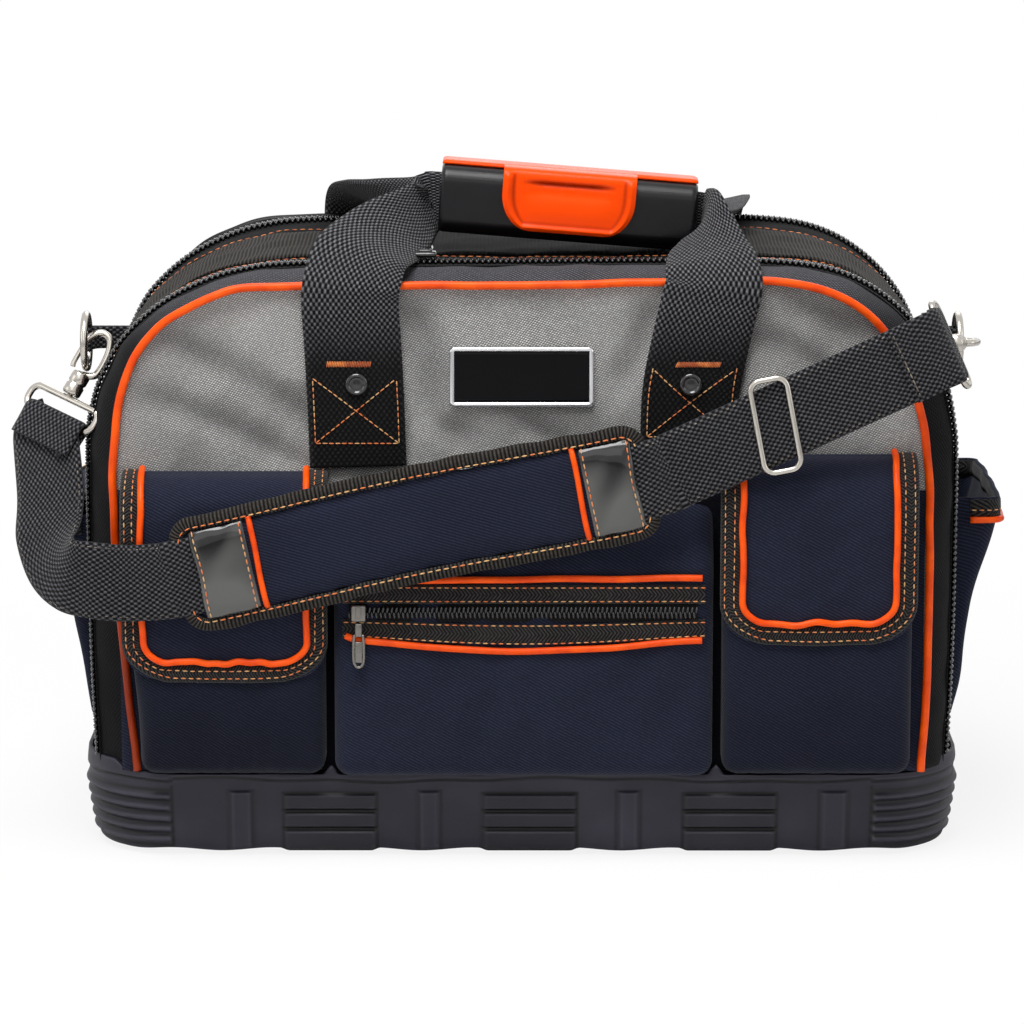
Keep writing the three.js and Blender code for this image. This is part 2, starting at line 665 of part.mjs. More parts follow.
// Side rings and the webbing tabs that hold them at the rear, sewn to the shell's rounded sides
function ringTab(side) {
  const clear = ringRod + ringClear;
  const outer = clear + tabWall;
  const rodY = ringY + ringRadius;
  const cornerZ = archTop - archCorner;
  const surface = (z) => archHalfWidth - archCorner
    + Math.sqrt(archCorner ** 2 - (z - cornerZ) ** 2) + gap + 0.4;
  const root = surface(ringZ) - ringX;
  const outline = [
    [root, rodY + 1], [-outer - 3, rodY + 1], [-outer, rodY - outer - tabDrop],
    [outer, rodY - outer - tabDrop], [outer, rodY + outer], [root, rodY + outer],
  ];
  const eye = [
    [-clear, rodY - clear - tabDrop], [clear, rodY - clear - tabDrop],
    [clear, rodY + clear], [-clear, rodY + clear],
  ];
  const onSide = (points) => {
    const turned = points.map(([x, y]) => new THREE.Vector2(side * x, y));
    return side < 0 ? turned.reverse() : turned;
  };
  const profile = new THREE.Shape(onSide(outline));
  profile.holes.push(new THREE.Path(onSide(eye)));
  const geometry = new THREE.ExtrudeGeometry(profile, { depth: tabWidth, bevelEnabled: false });
  geometry.translate(side * ringX, 0, ringZ - tabWidth / 2);
  const corners = geometry.attributes.position;
  for (let i = 0; i < corners.count; i += 1) {
    if (side * corners.getX(i) < ringX - outer - 3.5) corners.setX(i, side * surface(corners.getZ(i)));
  }
  return geometry;
}

function sideRing(side) {
  const geometry = new THREE.TorusGeometry(ringRadius, ringRod, 6, 24);
  geometry.rotateY(Math.PI / 2);
  return geometry.translate(side * ringX, ringY, ringZ);
}
for (const [word, side] of [['left', -1], ['right', 1]]) {
  place(`${word}_ring_tab`, ringTab(side), charcoal, 0.9);
  place(`${word}_side_ring`, sideRing(side), steel, 0.25, 1);
}

// Snap hooks: built upright at the point where the hook holds its ring, then turned into place
const hookBody = join(
  rodAlong([
    [0, 0, -hookNeck], [hookHalfWidth * 0.7, 0, -hookNeck * 0.6], [hookHalfWidth, 0, 0],
    [hookHalfWidth, 0, hookNose * 0.6], [hookHalfWidth * 0.6, 0, hookNose * 0.93], [0, 0, hookNose],
    [-hookHalfWidth * 0.6, 0, hookNose * 0.93], [-hookHalfWidth, 0, hookNose * 0.6],
    [-hookHalfWidth, 0, hookNose * 0.45],
  ], hookRod),
  new THREE.CylinderGeometry(barrelRadius, barrelRadius, barrelLength, 12)
    .rotateX(Math.PI / 2).translate(0, 0, -hookNeck - barrelLength / 2 + 1),
);
const gateFoot = [-hookHalfWidth + 0.6, 0, -hookNeck * 0.62];
const gateTip = hookNose * 0.45 - gap - 0.2;
const gateRadius = 1.3;

function hookAt(word, clip, along, rod) {
  const z = new THREE.Vector3(...along).normalize().negate();
  const x = new THREE.Vector3().crossVectors(new THREE.Vector3(...rod), z).normalize();
  const y = new THREE.Vector3().crossVectors(z, x);
  const holder = new THREE.Group();
  holder.applyMatrix4(new THREE.Matrix4().makeBasis(x, y, z).setPosition(...clip));
  group.add(holder);
  place(`${word}_hook_body`, hookBody.clone(), steel, 0.25, 1, holder);
  place(`${word}_hook_gate`, rodAlong([
    gateFoot, [-hookHalfWidth, 0, 0], [-hookHalfWidth, 0, gateTip],
  ], gateRadius), steel, 0.3, 1, holder);
  return holder;
}

// Wire loops at the hooks' swivels, which the strap's webbing is sewn round
function wireLoop(halfWidth, halfHeight, radius) {
  return rodLoop(roundedOutline(halfWidth, halfHeight, Math.min(5, halfHeight), 3), radius);
}
const barrelEnd = hookNeck + barrelLength - 1;
const loopOffset = barrelEnd + swivelGap + loopRod + loopHeight / 2;

function strapLoop(word, clip, along, across) {
  const run = new THREE.Vector3(...along).normalize();
  const width = new THREE.Vector3(...across);
  width.addScaledVector(run, -width.dot(run)).normalize();
  const loop = wireLoop(strapWidth / 2 + 3, loopHeight / 2, loopRod);
  const mesh = place(`${word}_strap_loop`, loop, steel, 0.25, 1);
  const normal = new THREE.Vector3().crossVectors(width, run);
  const centre = new THREE.Vector3(...clip).addScaledVector(run, loopOffset);
  mesh.applyMatrix4(new THREE.Matrix4().makeBasis(width, run, normal).setPosition(centre));
  return centre.addScaledVector(run, loopHeight / 2);
}

function ringPoint(side, degrees) {
  const turn = THREE.MathUtils.degToRad(degrees);
  return {
    clip: [side * ringX, ringY + ringRadius * Math.cos(turn), ringZ + ringRadius * Math.sin(turn)],
    rod: [0, -Math.sin(turn), Math.cos(turn)],
  };
}
const leftHold = ringPoint(-1, 250);
const leftRun = [-0.5, -0.3, -0.85];
const leftAcross = [0.85, -0.6, -0.3];
hookAt('left', leftHold.clip, leftRun, leftHold.rod);
const leftEye = strapLoop('left', leftHold.clip, leftRun, leftAcross);
const rightHold = ringPoint(1, 174);
const rightRun = [-0.3, -0.95, 0.1];
const rightAcross = [-0.42, 0.1, 0.9];
hookAt('right', rightHold.clip, rightRun, rightHold.rod);
const rightEye = strapLoop('right', rightHold.clip, rightRun, rightAcross);

// Shoulder strap: webbing from the left loop, the pad, and webbing on to the right loop
const strapY = pocketFront - 2 * gap - flapThick - webbingThick / 2 - strapClear;
const padY = strapY - padCrown;
const padLeft = new THREE.Vector3(padMargin - archHalfWidth, padY, 154);
const padRight = new THREE.Vector3(66, padY, 206);
const padRun = padRight.clone().sub(padLeft).normalize();
const padAcross = [-padRun.z, 0, padRun.x];
const strapGap = loopRod + gap;
const seam = (end, distance) => [end.x + padRun.x * distance, strapY, end.z + padRun.z * distance];

function away(point, run, distance) {
  const direction = new THREE.Vector3(...run).normalize();
  return point.clone().addScaledVector(direction, distance).toArray();
}
// Points on the strap's way out past the shell's sides, by their distance out from a side,
// back from the strap's front run, and up from the pad's left end or the rings
const drape = (out, back, up) => [-archHalfWidth - out, strapY + back, padLeft.z + up];
const rise = (out, back, up) => [archHalfWidth + out, strapY + back, ringZ + up];
place('strap_left_webbing', webbing([
  [away(leftEye, leftRun, strapGap), leftAcross, strapWidth],
  [away(leftEye, leftRun, strapGap + loopLead), leftAcross, strapWidth],
  [drape(23, 37.35, 36), [1, -0.5, 0.05], strapWidth],
  [drape(23, 26.35, 20), [0.95, -0.4, 0.25], strapWidth],
  [drape(20, 14.35, 7), [0.62, -0.3, 0.72], strapWidth],
  [drape(12, 4.35, 0), [0.2, -0.15, 0.97], strapWidth],
  [drape(-2, 0, -2), [0, 0, 1], strapWidth],
  [seam(padLeft, -padSeam), padAcross, strapWidth],
  [seam(padLeft, -gap), padAcross, strapWidth],
]), charcoal, 0.9);
const rightStart = new THREE.Vector3(...seam(padRight, padSeam));
const rightSlope = THREE.MathUtils.degToRad(25);
const rightDirection = new THREE.Vector3(Math.cos(rightSlope), 0, Math.sin(rightSlope));
const rightNormal = [-Math.sin(rightSlope), 0, Math.cos(rightSlope)];
const straightEnd = rightStart.clone().addScaledVector(rightDirection, adjusterRun);
place('strap_right_webbing', webbing([
  [seam(padRight, gap), padAcross, strapWidth],
  [rightStart.toArray(), padAcross, strapWidth],
  [straightEnd.toArray(), rightNormal, strapWidth],
  [rise(-14.5, 1.2, 3.8), [-0.4, 0, 0.92], strapWidth],
  [rise(-6, 7, 6.5), [-0.4, 0.04, 0.91], strapWidth],
  [away(rightEye, rightRun, strapGap + loopLead), rightAcross, strapWidth],
  [away(rightEye, rightRun, strapGap), rightAcross, strapWidth],
]), charcoal, 0.9);

// Shoulder pad: crowned across, drawn in at its rounded ends
function padSection(centre, halfWidth, halfThick) {
  const across = new THREE.Vector3(...padAcross);
  const out = new THREE.Vector3(0, 1, 0);
  const outline = [
    [1, 0], [0.93, -0.55], [0.6, -0.9], [0, -1], [-0.6, -0.9],
    [-0.93, -0.55], [-1, 0], [-0.93, 0.3], [0, 0.35], [0.93, 0.3],
  ];
  return outline.map(([a, b]) => centre.clone()
    .addScaledVector(across, a * halfWidth).addScaledVector(out, b * halfThick));
}
const padStations = [[0, 0.78, 0.5], [0.02, 0.9, 0.75], [0.06, 1, 0.95], [0.25, 1, 1], [0.5, 1, 1],
  [0.75, 1, 1], [0.94, 1, 0.95], [0.98, 0.9, 0.75], [1, 0.78, 0.5]];
place('strap_pad', skin(padStations.map(([t, wide, thick]) => padSection(
  padLeft.clone().lerp(padRight, t), (padWidth / 2) * wide, (padThick / 2) * thick))), navy, 0.9);

// Slide adjuster on the strap
const adjusterLoop = wireLoop(adjusterWidth / 2, adjusterHeight / 2, adjusterRod);
const adjuster = place('strap_adjuster', adjusterLoop, steel, 0.25, 1);
const adjusterCentre = rightStart.clone().addScaledVector(rightDirection, adjusterAlong);
adjusterCentre.y = strapY - webbingThick / 2 - gap - adjusterRod;
adjuster.applyMatrix4(new THREE.Matrix4()
  .makeBasis(rightDirection, new THREE.Vector3(...rightNormal), new THREE.Vector3(0, -1, 0))
  .setPosition(adjusterCentre));

// Zip sliders with their pulls. side is -1 where a pull lies towards the front, and 1 where it
// lies towards the rear
function topSlider(word, x, y, side) {
  const base = archTop + zipProud + gap;
  place(`${word}_slider`, box(x - sliderLength / 2, x + sliderLength / 2,
    y - sliderWidth / 2, y + sliderWidth / 2, base, base + sliderHeight), blackPlastic, 0.3, 0.5);
  const near = y + side * (sliderWidth / 2 + pullGap);
  const span = [near, near + side * pullLength].sort((a, b) => a - b);
  const foot = base + (sliderHeight - pullThick) / 2;
  place(`${word}_pull`, box(x - pullWidth / 2, x + pullWidth / 2, ...span, foot, foot + pullThick),
    blackPlastic, 0.3, 0.5);
}
topSlider('front_zip', frontSliderX, (frontZipY[0] + frontZipY[1]) / 2, 1);
topSlider('rear_zip', rearSliderX, (rearZipY[0] + rearZipY[1]) / 2, -1);
const middleSliderX = zipLeft + 5;
const middleSliderFoot = middleZipZ - middleSliderHalf;
const middleSliderBack = middleZipFront - gap;
const middleSliderFront = middleSliderBack - 3;
const middlePullTop = middleSliderFoot - pullGap;
place('middle_zip_slider', box(middleSliderX - 4, middleSliderX + 4,
  middleSliderFront, middleSliderBack, middleSliderFoot, middleZipZ + middleSliderHalf), steel, 0.3, 1);
place('middle_zip_pull', box(middleSliderX - 3, middleSliderX + 3,
  middleSliderFront, middleSliderFront + pullThick,
  middlePullTop - pullLength, middlePullTop), steel, 0.3, 1);

export default group;
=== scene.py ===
import math

import bpy
import numpy as np
from mathutils import Matrix, Vector
from mathutils.bvhtree import BVHTree


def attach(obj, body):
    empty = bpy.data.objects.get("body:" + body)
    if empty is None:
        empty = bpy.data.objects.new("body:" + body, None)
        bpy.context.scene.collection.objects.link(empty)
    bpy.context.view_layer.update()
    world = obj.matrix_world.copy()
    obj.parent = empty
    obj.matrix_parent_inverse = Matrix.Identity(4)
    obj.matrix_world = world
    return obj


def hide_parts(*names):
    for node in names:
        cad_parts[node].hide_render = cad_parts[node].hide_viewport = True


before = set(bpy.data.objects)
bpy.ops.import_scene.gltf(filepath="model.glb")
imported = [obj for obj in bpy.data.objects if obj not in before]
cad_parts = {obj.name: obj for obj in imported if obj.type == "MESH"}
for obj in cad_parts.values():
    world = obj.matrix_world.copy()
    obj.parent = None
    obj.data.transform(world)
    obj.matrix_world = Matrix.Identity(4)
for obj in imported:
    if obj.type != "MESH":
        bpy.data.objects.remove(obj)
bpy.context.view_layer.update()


# The room: a white floor and backdrop, wide soft lamps above, in front and at both sides, and
# a long lens that looks down a little on the bag, from over two metres away.
def linear(code):
    """An sRGB hex colour as linear red, green, blue and a full alpha."""
    parts = [int(code[i:i + 2], 16) / 255 for i in (1, 3, 5)]
    return (*[c / 12.92 if c <= 0.04045 else ((c + 0.055) / 1.055) ** 2.4 for c in parts], 1.0)


def add_node(tree, kind, settings=None):
    """One shader node. A setting is a property, a socket's value, or a (node, output) to link."""
    made = tree.nodes.new(kind)
    for key, value in (settings or {}).items():
        if isinstance(value, tuple) and isinstance(value[0], bpy.types.Node):
            tree.links.new(value[0].outputs[value[1]], made.inputs[key])
        elif isinstance(key, str) and hasattr(made, key):
            setattr(made, key, value)
        else:
            made.inputs[key].default_value = value
    return made


def worked(tree, operation, *terms):
    """One step of arithmetic on numbers and (node, output) sources."""
    return add_node(tree, "ShaderNodeMath", {"operation": operation, **dict(enumerate(terms))}), 0


def ranged(tree, source, low, high, to_low=0.0, to_high=1.0):
    """A source's values from low to high, stretched to another range."""
    return add_node(tree, "ShaderNodeMapRange", {
        "From Min": low, "From Max": high, "To Min": to_low, "To Max": to_high, "Value": source}), 0


def new_finish(name):
    """An empty material of that name, with its node tree."""
    finish = bpy.data.materials.new(name)
    finish.use_nodes = True
    finish.node_tree.nodes.clear()
    return finish, finish.node_tree


scene = bpy.context.scene
scene.view_settings.view_transform = "Standard"
eye = bpy.data.objects.new("eye", bpy.data.cameras.new("eye"))
eye.location = (0.00137, -2.318, 0.5958)
eye.rotation_euler = (math.radians(90) - 0.18518, 0, 0.0029)
eye.data.lens = 152.3
eye.data.sensor_width = 36.0
eye.data.clip_end = 50.0
scene.collection.objects.link(eye)
scene.camera = eye

lamps = [
    ("top_lamp", (-0.3, -0.75, 1.9), (math.radians(20), 0, math.radians(-10)), 1.1, 43.0),
    ("front_lamp", (-0.5, -2.4, 1.5), (math.radians(58), 0, math.radians(-12)), 1.4, 6.0),
    ("left_lamp", (-2.1, -0.7, 0.9), (math.radians(70), 0, math.radians(-72)), 1.2, 5.0),
    ("right_lamp", (2.1, -0.7, 0.9), (math.radians(70), 0, math.radians(72)), 1.2, 5.0),
    ("back_lamp", (0.3, 2.0, 1.5), (math.radians(-55), 0, 0), 1.5, 9.0),
]
for lamp_name, place, turn, width, power in lamps:
    lamp = bpy.data.objects.new(lamp_name, bpy.data.lights.new(lamp_name, "AREA"))
    lamp.data.size = width
    lamp.data.energy = power
    lamp.location = place
    lamp.rotation_euler = turn
    scene.collection.objects.link(lamp)

world = bpy.data.worlds.new("white_room")
world.use_nodes = True
scene.world = world
world.node_tree.nodes.clear()
tree = world.node_tree
ray = add_node(tree, "ShaderNodeLightPath")
seen = worked(tree, "MAXIMUM", (ray, "Is Camera Ray"), (ray, "Is Glossy Ray"))
seen = worked(tree, "MAXIMUM", seen, (ray, "Is Transmission Ray"))
soft = add_node(tree, "ShaderNodeBackground", {"Color": linear("#ffffff"), "Strength": 0.17})
white = add_node(tree, "ShaderNodeBackground", {"Color": linear("#ffffff"), "Strength": 1.0})
mixed = add_node(tree, "ShaderNodeMixShader", {0: seen, 1: (soft, 0), 2: (white, 0)})
add_node(tree, "ShaderNodeOutputWorld", {"Surface": (mixed, 0)})

floor_finish, tree = new_finish("white_floor")
ray = add_node(tree, "ShaderNodeLightPath")
paint = add_node(tree, "ShaderNodeBsdfDiffuse", {"Color": linear("#f2f2f2")})
glow = add_node(tree, "ShaderNodeEmission", {"Color": linear("#ffffff"), "Strength": 1.0})
where = add_node(tree, "ShaderNodeTexCoord")
away = add_node(tree, "ShaderNodeVectorMath", {"operation": "LENGTH", 0: (where, "Object")})
fade = ranged(tree, (away, "Value"), 0.26, 0.75, 0.86, 1.0)
share = worked(tree, "MULTIPLY", (ray, "Is Camera Ray"), fade)
mixed = add_node(tree, "ShaderNodeMixShader", {0: share, 1: (paint, 0), 2: (glow, 0)})
add_node(tree, "ShaderNodeOutputMaterial", {"Surface": (mixed, 0)})
bpy.ops.object.select_all(action="DESELECT")
bpy.ops.mesh.primitive_plane_add(size=16, location=(0, 0, -0.0012))
floor = bpy.context.object
floor.name = "floor"
floor.data.materials.append(floor_finish)


# Base tub: one moulded rubber tray that the shell is sewn into. Its walls lean in towards the
# floor and carry raised louvres, upright ribs and ribbed corners; a seam's groove runs under
# its lip. Black thermoplastic rubber, satin, with a fine spark grain and rubbed edges.
MM = 0.001


def noise(tree, scale, detail):
    """Noise that moves with the piece."""
    place = add_node(tree, "ShaderNodeTexCoord")
    return add_node(tree, "ShaderNodeTexNoise", {
        "Scale": scale, "Detail": detail, "Vector": (place, "Object")}), "Fac"


def blended(tree, share, first, second):
    """A colour between two, each a hex code or a (node, output)."""
    ends = [linear(end) if isinstance(end, str) else end for end in (first, second)]
    return add_node(tree, "ShaderNodeMix", {"data_type": "RGBA", 0: share, 6: ends[0], 7: ends[1]}), 2


def darkened(tree, colour, deep):
    """A colour that goes to deep where the piece's own painted shade rises from 0 to 1."""
    painted_shade = add_node(tree, "ShaderNodeAttribute", {"attribute_name": "shade"})
    return blended(tree, (painted_shade, "Fac"), colour, deep)


def bumpy(tree, height, strength, depth):
    """A surface's bumps, depth millimetres high at most."""
    return add_node(tree, "ShaderNodeBump", {"Strength": strength, "Distance": depth * MM, "Height": height}), 0


def surfaced(finish, settings):
    """Gives a material its principled surface, and returns it finished."""
    skin = add_node(finish.node_tree, "ShaderNodeBsdfPrincipled", settings)
    add_node(finish.node_tree, "ShaderNodeOutputMaterial", {"Surface": (skin, 0)})
    return finish


def rubber(name, base, worn, grain):
    """Moulded rubber: dull, with a grain of that many millimetres, paler on rubbed edges."""
    finish, tree = new_finish(name)
    cloud, spark = noise(tree, 22.0, 5.0), noise(tree, 1.0 / (grain * MM), 2.0)
    shape = add_node(tree, "ShaderNodeNewGeometry")
    edge = ranged(tree, (shape, "Pointiness"), 0.51, 0.60, 0.0, 0.55)
    dust = ranged(tree, cloud, 0.42, 0.75, 0.0, 0.22)
    colour = blended(tree, worked(tree, "ADD", edge, dust), base, worn)
    return surfaced(finish, {
        "Specular IOR Level": 0.3, "Base Color": darkened(tree, colour, "#050506"),
        "Roughness": ranged(tree, cloud, 0.3, 0.7, 0.42, 0.58), "Normal": bumpy(tree, spark, 0.35, 0.3)})


def shaped_grid(name, across, along, place, span=(1.0, 1.0)):
    """A flat grid whose corners are moved to place(a, b), in millimetres, a and b from 0 to 1.
    Its UV map keeps the real size: span is the sheet's width and length in millimetres."""
    bpy.ops.object.select_all(action="DESELECT")
    bpy.ops.mesh.primitive_grid_add(x_subdivisions=across, y_subdivisions=along, size=1)
    obj = bpy.context.object
    obj.name = name
    mesh = obj.data
    flat = np.zeros(len(mesh.vertices) * 3)
    mesh.vertices.foreach_get("co", flat)
    flat = flat.reshape(-1, 3)
    a, b = flat[:, 0] + 0.5, flat[:, 1] + 0.5
    mesh.vertices.foreach_set("co", (place(a, b) * MM).astype(np.float32).ravel())
    uv = np.zeros(len(mesh.loops) * 2)
    mesh.uv_layers[0].data.foreach_get("uv", uv)
    uv = uv.reshape(-1, 2) * np.array(span) * MM
    mesh.uv_layers[0].data.foreach_set("uv", uv.astype(np.float32).ravel())
    mesh.update()
    return obj


def chosen(obj):
    """Makes an object the only one that the next operator works on."""
    bpy.ops.object.select_all(action="DESELECT")
    bpy.context.view_layer.objects.active = obj
    obj.select_set(True)


def sewn_shut(obj, distance=0.01):
    """Merges corners that are less than distance millimetres apart and turns all faces outwards."""
    chosen(obj)
    bpy.ops.object.mode_set(mode="EDIT")
    bpy.ops.mesh.select_all(action="SELECT")
    bpy.ops.mesh.remove_doubles(threshold=distance * MM)
    bpy.ops.mesh.normals_make_consistent(inside=False)
    bpy.ops.object.mode_set(mode="OBJECT")
    return obj


def put_on(obj, finish, body, slot, *nodes):
    """The piece's material, the body that it moves with, and the solids that it stands for."""
    obj.data.materials.clear()
    obj.data.materials.append(finish)
    obj.data.shade_smooth()
    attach(obj, body)
    if nodes:
        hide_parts(*nodes)
    return obj


def step(value, low, high):
    """Rises smoothly from 0 at low to 1 at high."""
    t = np.clip((value - low) / (high - low), 0, 1)
    return t * t * (3 - 2 * t)


def crumple(x, z, size, seed):
    """Soft dents: nine waves about size millimetres long in every direction, always the same."""
    random, whole, waves = np.random.default_rng(seed), 6.283, 9
    total = np.zeros(np.broadcast(x, z).shape)
    for _ in range(waves):
        turn, length = random.uniform(0, whole), size * random.uniform(0.6, 1.8)
        start = random.uniform(0, whole)
        total = total + np.sin((x * math.cos(turn) + z * math.sin(turn)) * whole / length + start)
    return total / math.sqrt(waves)


tub_half = (231.5, 118.0)
tub_corner = 52.0
tub_draft = 6.0
straight = (tub_half[0] - tub_corner, tub_half[1] - tub_corner)
quarter = math.pi / 2 * tub_corner
around = 4 * (straight[0] + straight[1]) + 4 * quarter


def tub_line(s):
    """The rim's outline at distance s, from the middle of the front to the right: x, y, nx, ny."""
    s = np.mod(s, around)
    (wide, deep), (right, back) = straight, tub_half
    parts = [(wide, 0, (0, -back), None), (quarter, -90, None, (wide, -deep)),
             (2 * deep, 90, (right, -deep), None), (quarter, 0, None, (wide, deep)),
             (2 * wide, 180, (wide, back), None), (quarter, 90, None, (-wide, deep)),
             (2 * deep, 270, (-right, deep), None), (quarter, 180, None, (-wide, -deep)),
             (wide, 0, (-wide, -back), None)]
    out = np.zeros((len(s), 4))
    passed = 0.0
    for run, turn, start, centre in parts:
        here = (s >= passed - 1e-9) & (s <= passed + run + 1e-9)
        t = s[here] - passed
        if centre is None:
            dx, dy = math.cos(math.radians(turn)), math.sin(math.radians(turn))
            out[here] = np.stack([start[0] + dx * t, start[1] + dy * t, np.full_like(t, dy),
                                  np.full_like(t, -dx)], 1)
        else:
            angle = math.radians(turn) + t / tub_corner
            out[here] = np.stack([centre[0] + tub_corner * np.cos(angle),
                                  centre[1] + tub_corner * np.sin(angle), np.cos(angle), np.sin(angle)], 1)
        passed += run
    return out


louvre_columns = (-100.5, 4.0, 109.0)
louvre_rows = ((24.6, 33.6), (14.6, 23.2), (-2.0, 13.2))
upright_ribs = ((-147, 13), (-48.5, 12), (56, 12), (163.5, 15))
ribbed_from, rib_pitch, rib_start = 183, 6.2, 0.6


def boss(x, z, x0, x1, z0, z1, soft):
    """A raised pad between those edges, with soft shoulders: 1 on top, 0 outside."""
    inside = np.minimum(np.minimum(x - x0, x1 - x), np.minimum(z - z0, z1 - z))
    return step(inside, 0, soft)


def seam_height(x, corner):
    """How high the seam's groove runs under the lip: it wavers, and dips at the corners."""
    return 41.2 + 1.1 * np.sin(x * 0.031 + 0.8) + 0.5 * np.sin(x * 0.11) - 1.6 * corner


def tub_relief(x, y, z):
    """How far the moulding stands out of the tub's leaning wall, in millimetres."""
    broad = np.abs(y) > straight[1] + tub_corner * 0.93
    relief = np.zeros_like(x)
    for column in louvre_columns:
        for foot, head in louvre_rows:
            tilt = np.clip((head - z) / 9, 0, 1) * 0.7
            pad = boss(x, z, column - 24.5, column + 24.5, foot, head, 0.9)
            relief = np.maximum(relief, broad * pad * (2.6 - tilt))
    for column, width in upright_ribs:
        rib = boss(x, z, column - width / 2, column + width / 2, -3, 35.5, 1.6)
        relief = np.maximum(relief, broad * rib * 2.2)
    corner = step(np.abs(x), ribbed_from, ribbed_from + 1.2)
    side_panel = step(np.abs(y), 30, 31.2)
    ribbed = corner * side_panel * (1 - step(z, 35, 37))
    relief = relief + ribbed * (1.5 + 1.1 * np.sin(z * 2 * math.pi / rib_pitch + rib_start))
    middle = corner * (1 - side_panel)
    for low in (-22, -4, 14):
        relief = relief + middle * 2.0 * boss(y, z, low, low + 8, -3, 34, 1.4)
    seam = seam_height(x, corner)
    relief = relief - 1.1 * np.exp(-((z - seam) / 0.55) ** 2)
    return relief + 0.5 * step(z, seam, seam + 1.2) + 0.35 * crumple(x, y, 38, 3) * step(z, 30, 44)


def tub_lip(x, y):
    """How far the tub's thin edge reaches above its rim: most at the corners and between pockets."""
    end = step(np.abs(x), 207, 216)
    gaps = sum(np.clip(1 - np.abs(x - gap_x) / 4.5, 0, 1) for gap_x in (-99.5, 101.5)) * (y < 0)
    back = (y > 0) * (1 - end) * 0.35
    return 5.0 * end + 5.5 * gaps + 5 * back + 0.5 * np.sin(x * 0.09 + y * 0.05)


def tub_place(a, b):
    """The tub's whole section carried round it: underside, wall, lip, and down to its inner floor."""
    x, y, nx, ny = tub_line(a * around).T
    lip = tub_lip(x, y)
    between_louvres = 1 - sum(step(26.5 - np.abs(x - c), 0, 5) for c in louvre_columns)
    wave = 1.6 * step(np.abs(y), 100, 112) * between_louvres * (0.5 - 0.5 * np.cos(x * 0.12))
    foot, rim = 0.09, 0.62
    rows = [0.0, 0.03, 0.06, foot, rim, 0.66, 0.70, 0.74, 0.80, 0.86, 0.92, 1.0]
    insets = [-112.0, -30.0, -tub_draft - 6, -tub_draft - 1, 0.0, -0.6, -2.6, -3.2, -13.0, -13.0, -10.5, -112.0]
    heights = [2.0, 0.6, 0.0, 1.2, 44.0, 44.0, 44.0, 43.2, 42.6, 40.4, 5.0, 4.2]
    raised = [0, 0, 0, 0, 0, 1, 1, 0, 0, 0, 0, 0]
    inset = np.interp(b, rows, insets)
    height = np.interp(b, rows, heights) + np.interp(b, rows, raised) * lip
    wall = (b > foot) & (b < rim)
    t = np.where(wall, (b - foot) / (rim - foot), 0)
    inset = np.where(wall, -tub_draft * (1 - t) - (1 - t) ** 6, inset)
    inset = inset + tub_relief(x, y, height) * np.where(wall, np.minimum(1, np.minimum(t, 1 - t) * 14), 0)
    height = height + np.where(b < 0.3, wave * np.clip((0.3 - b) / 0.2, 0, 1) * (b > 0.05), 0)
    floor_part, reach = inset < -50, 1 - np.clip(-inset / 112.0, 0, 1)
    px = np.where(floor_part, (x - nx * 60) * reach, x + nx * inset)
    py = np.where(floor_part, (y - ny * 60) * reach, y + ny * inset)
    return np.stack([px, py, height], 1)


def tub_shade(x, y, z):
    """Painted shade: darker louvre faces, and dark lines round each louvre, beside the ribs, where the ribbed
    corners begin, in their grooves and along the seam.
    """
    broad = np.abs(y) > 95
    shade = np.zeros_like(x)
    for column in louvre_columns:
        for foot, head in louvre_rows:
            face = boss(x, z, column - 25, column + 25, foot, head, 1.2)
            rim = boss(x, z, column - 26.0, column + 26.0, foot - 1.5, head + 1.1, 0.6)
            shade = np.maximum(shade, broad * np.maximum(0.45 * face, rim - face))
    for column, width in upright_ribs:
        for edge in (column - width / 2, column + width / 2):
            shade = np.maximum(shade, broad * np.exp(-((x - edge) / 0.8) ** 2) * (z < 36) * 0.9)
    shade = np.maximum(shade, np.exp(-((np.abs(x) - ribbed_from) / 0.9) ** 2) * (z < 38) * broad)
    grooves = (np.abs(x) > ribbed_from) * (np.abs(y) > 31) * (z < 37)
    groove = (0.5 - 0.5 * np.sin(z * 2 * math.pi / rib_pitch + rib_start)) ** 2
    shade = np.maximum(shade, grooves * groove * 0.9)
    return np.maximum(shade, np.exp(-((z - seam_height(x, np.abs(x) > ribbed_from)) / 0.8) ** 2))


def corner_places(obj):
    """Where a mesh's points are, as rows of x, y and z in metres."""
    spots = np.zeros(len(obj.data.vertices) * 3)
    obj.data.vertices.foreach_get("co", spots)
    return spots.reshape(-1, 3)


def shaded(obj, rule):
    """Keeps rule(x, y, z), in millimetres, on the points as painted shade: 1 where it is darkest."""
    shade = obj.data.attributes.new("shade", "FLOAT", "POINT")
    shade.data.foreach_set("value", rule(*(corner_places(obj).T / MM)).astype(np.float32))


tub_rubber = rubber("moulded_black_rubber", "#211f2a", "#565461", 0.5)
tub = sewn_shut(shaped_grid("base_tub_moulding", 900, 120, tub_place, (around, 160)), 0.05)
# Painted shade on the tub's mouldings, from tub_shade.
shaded(tub, tub_shade)
put_on(tub, tub_rubber, "bag", "base_rubber", "base_tub")


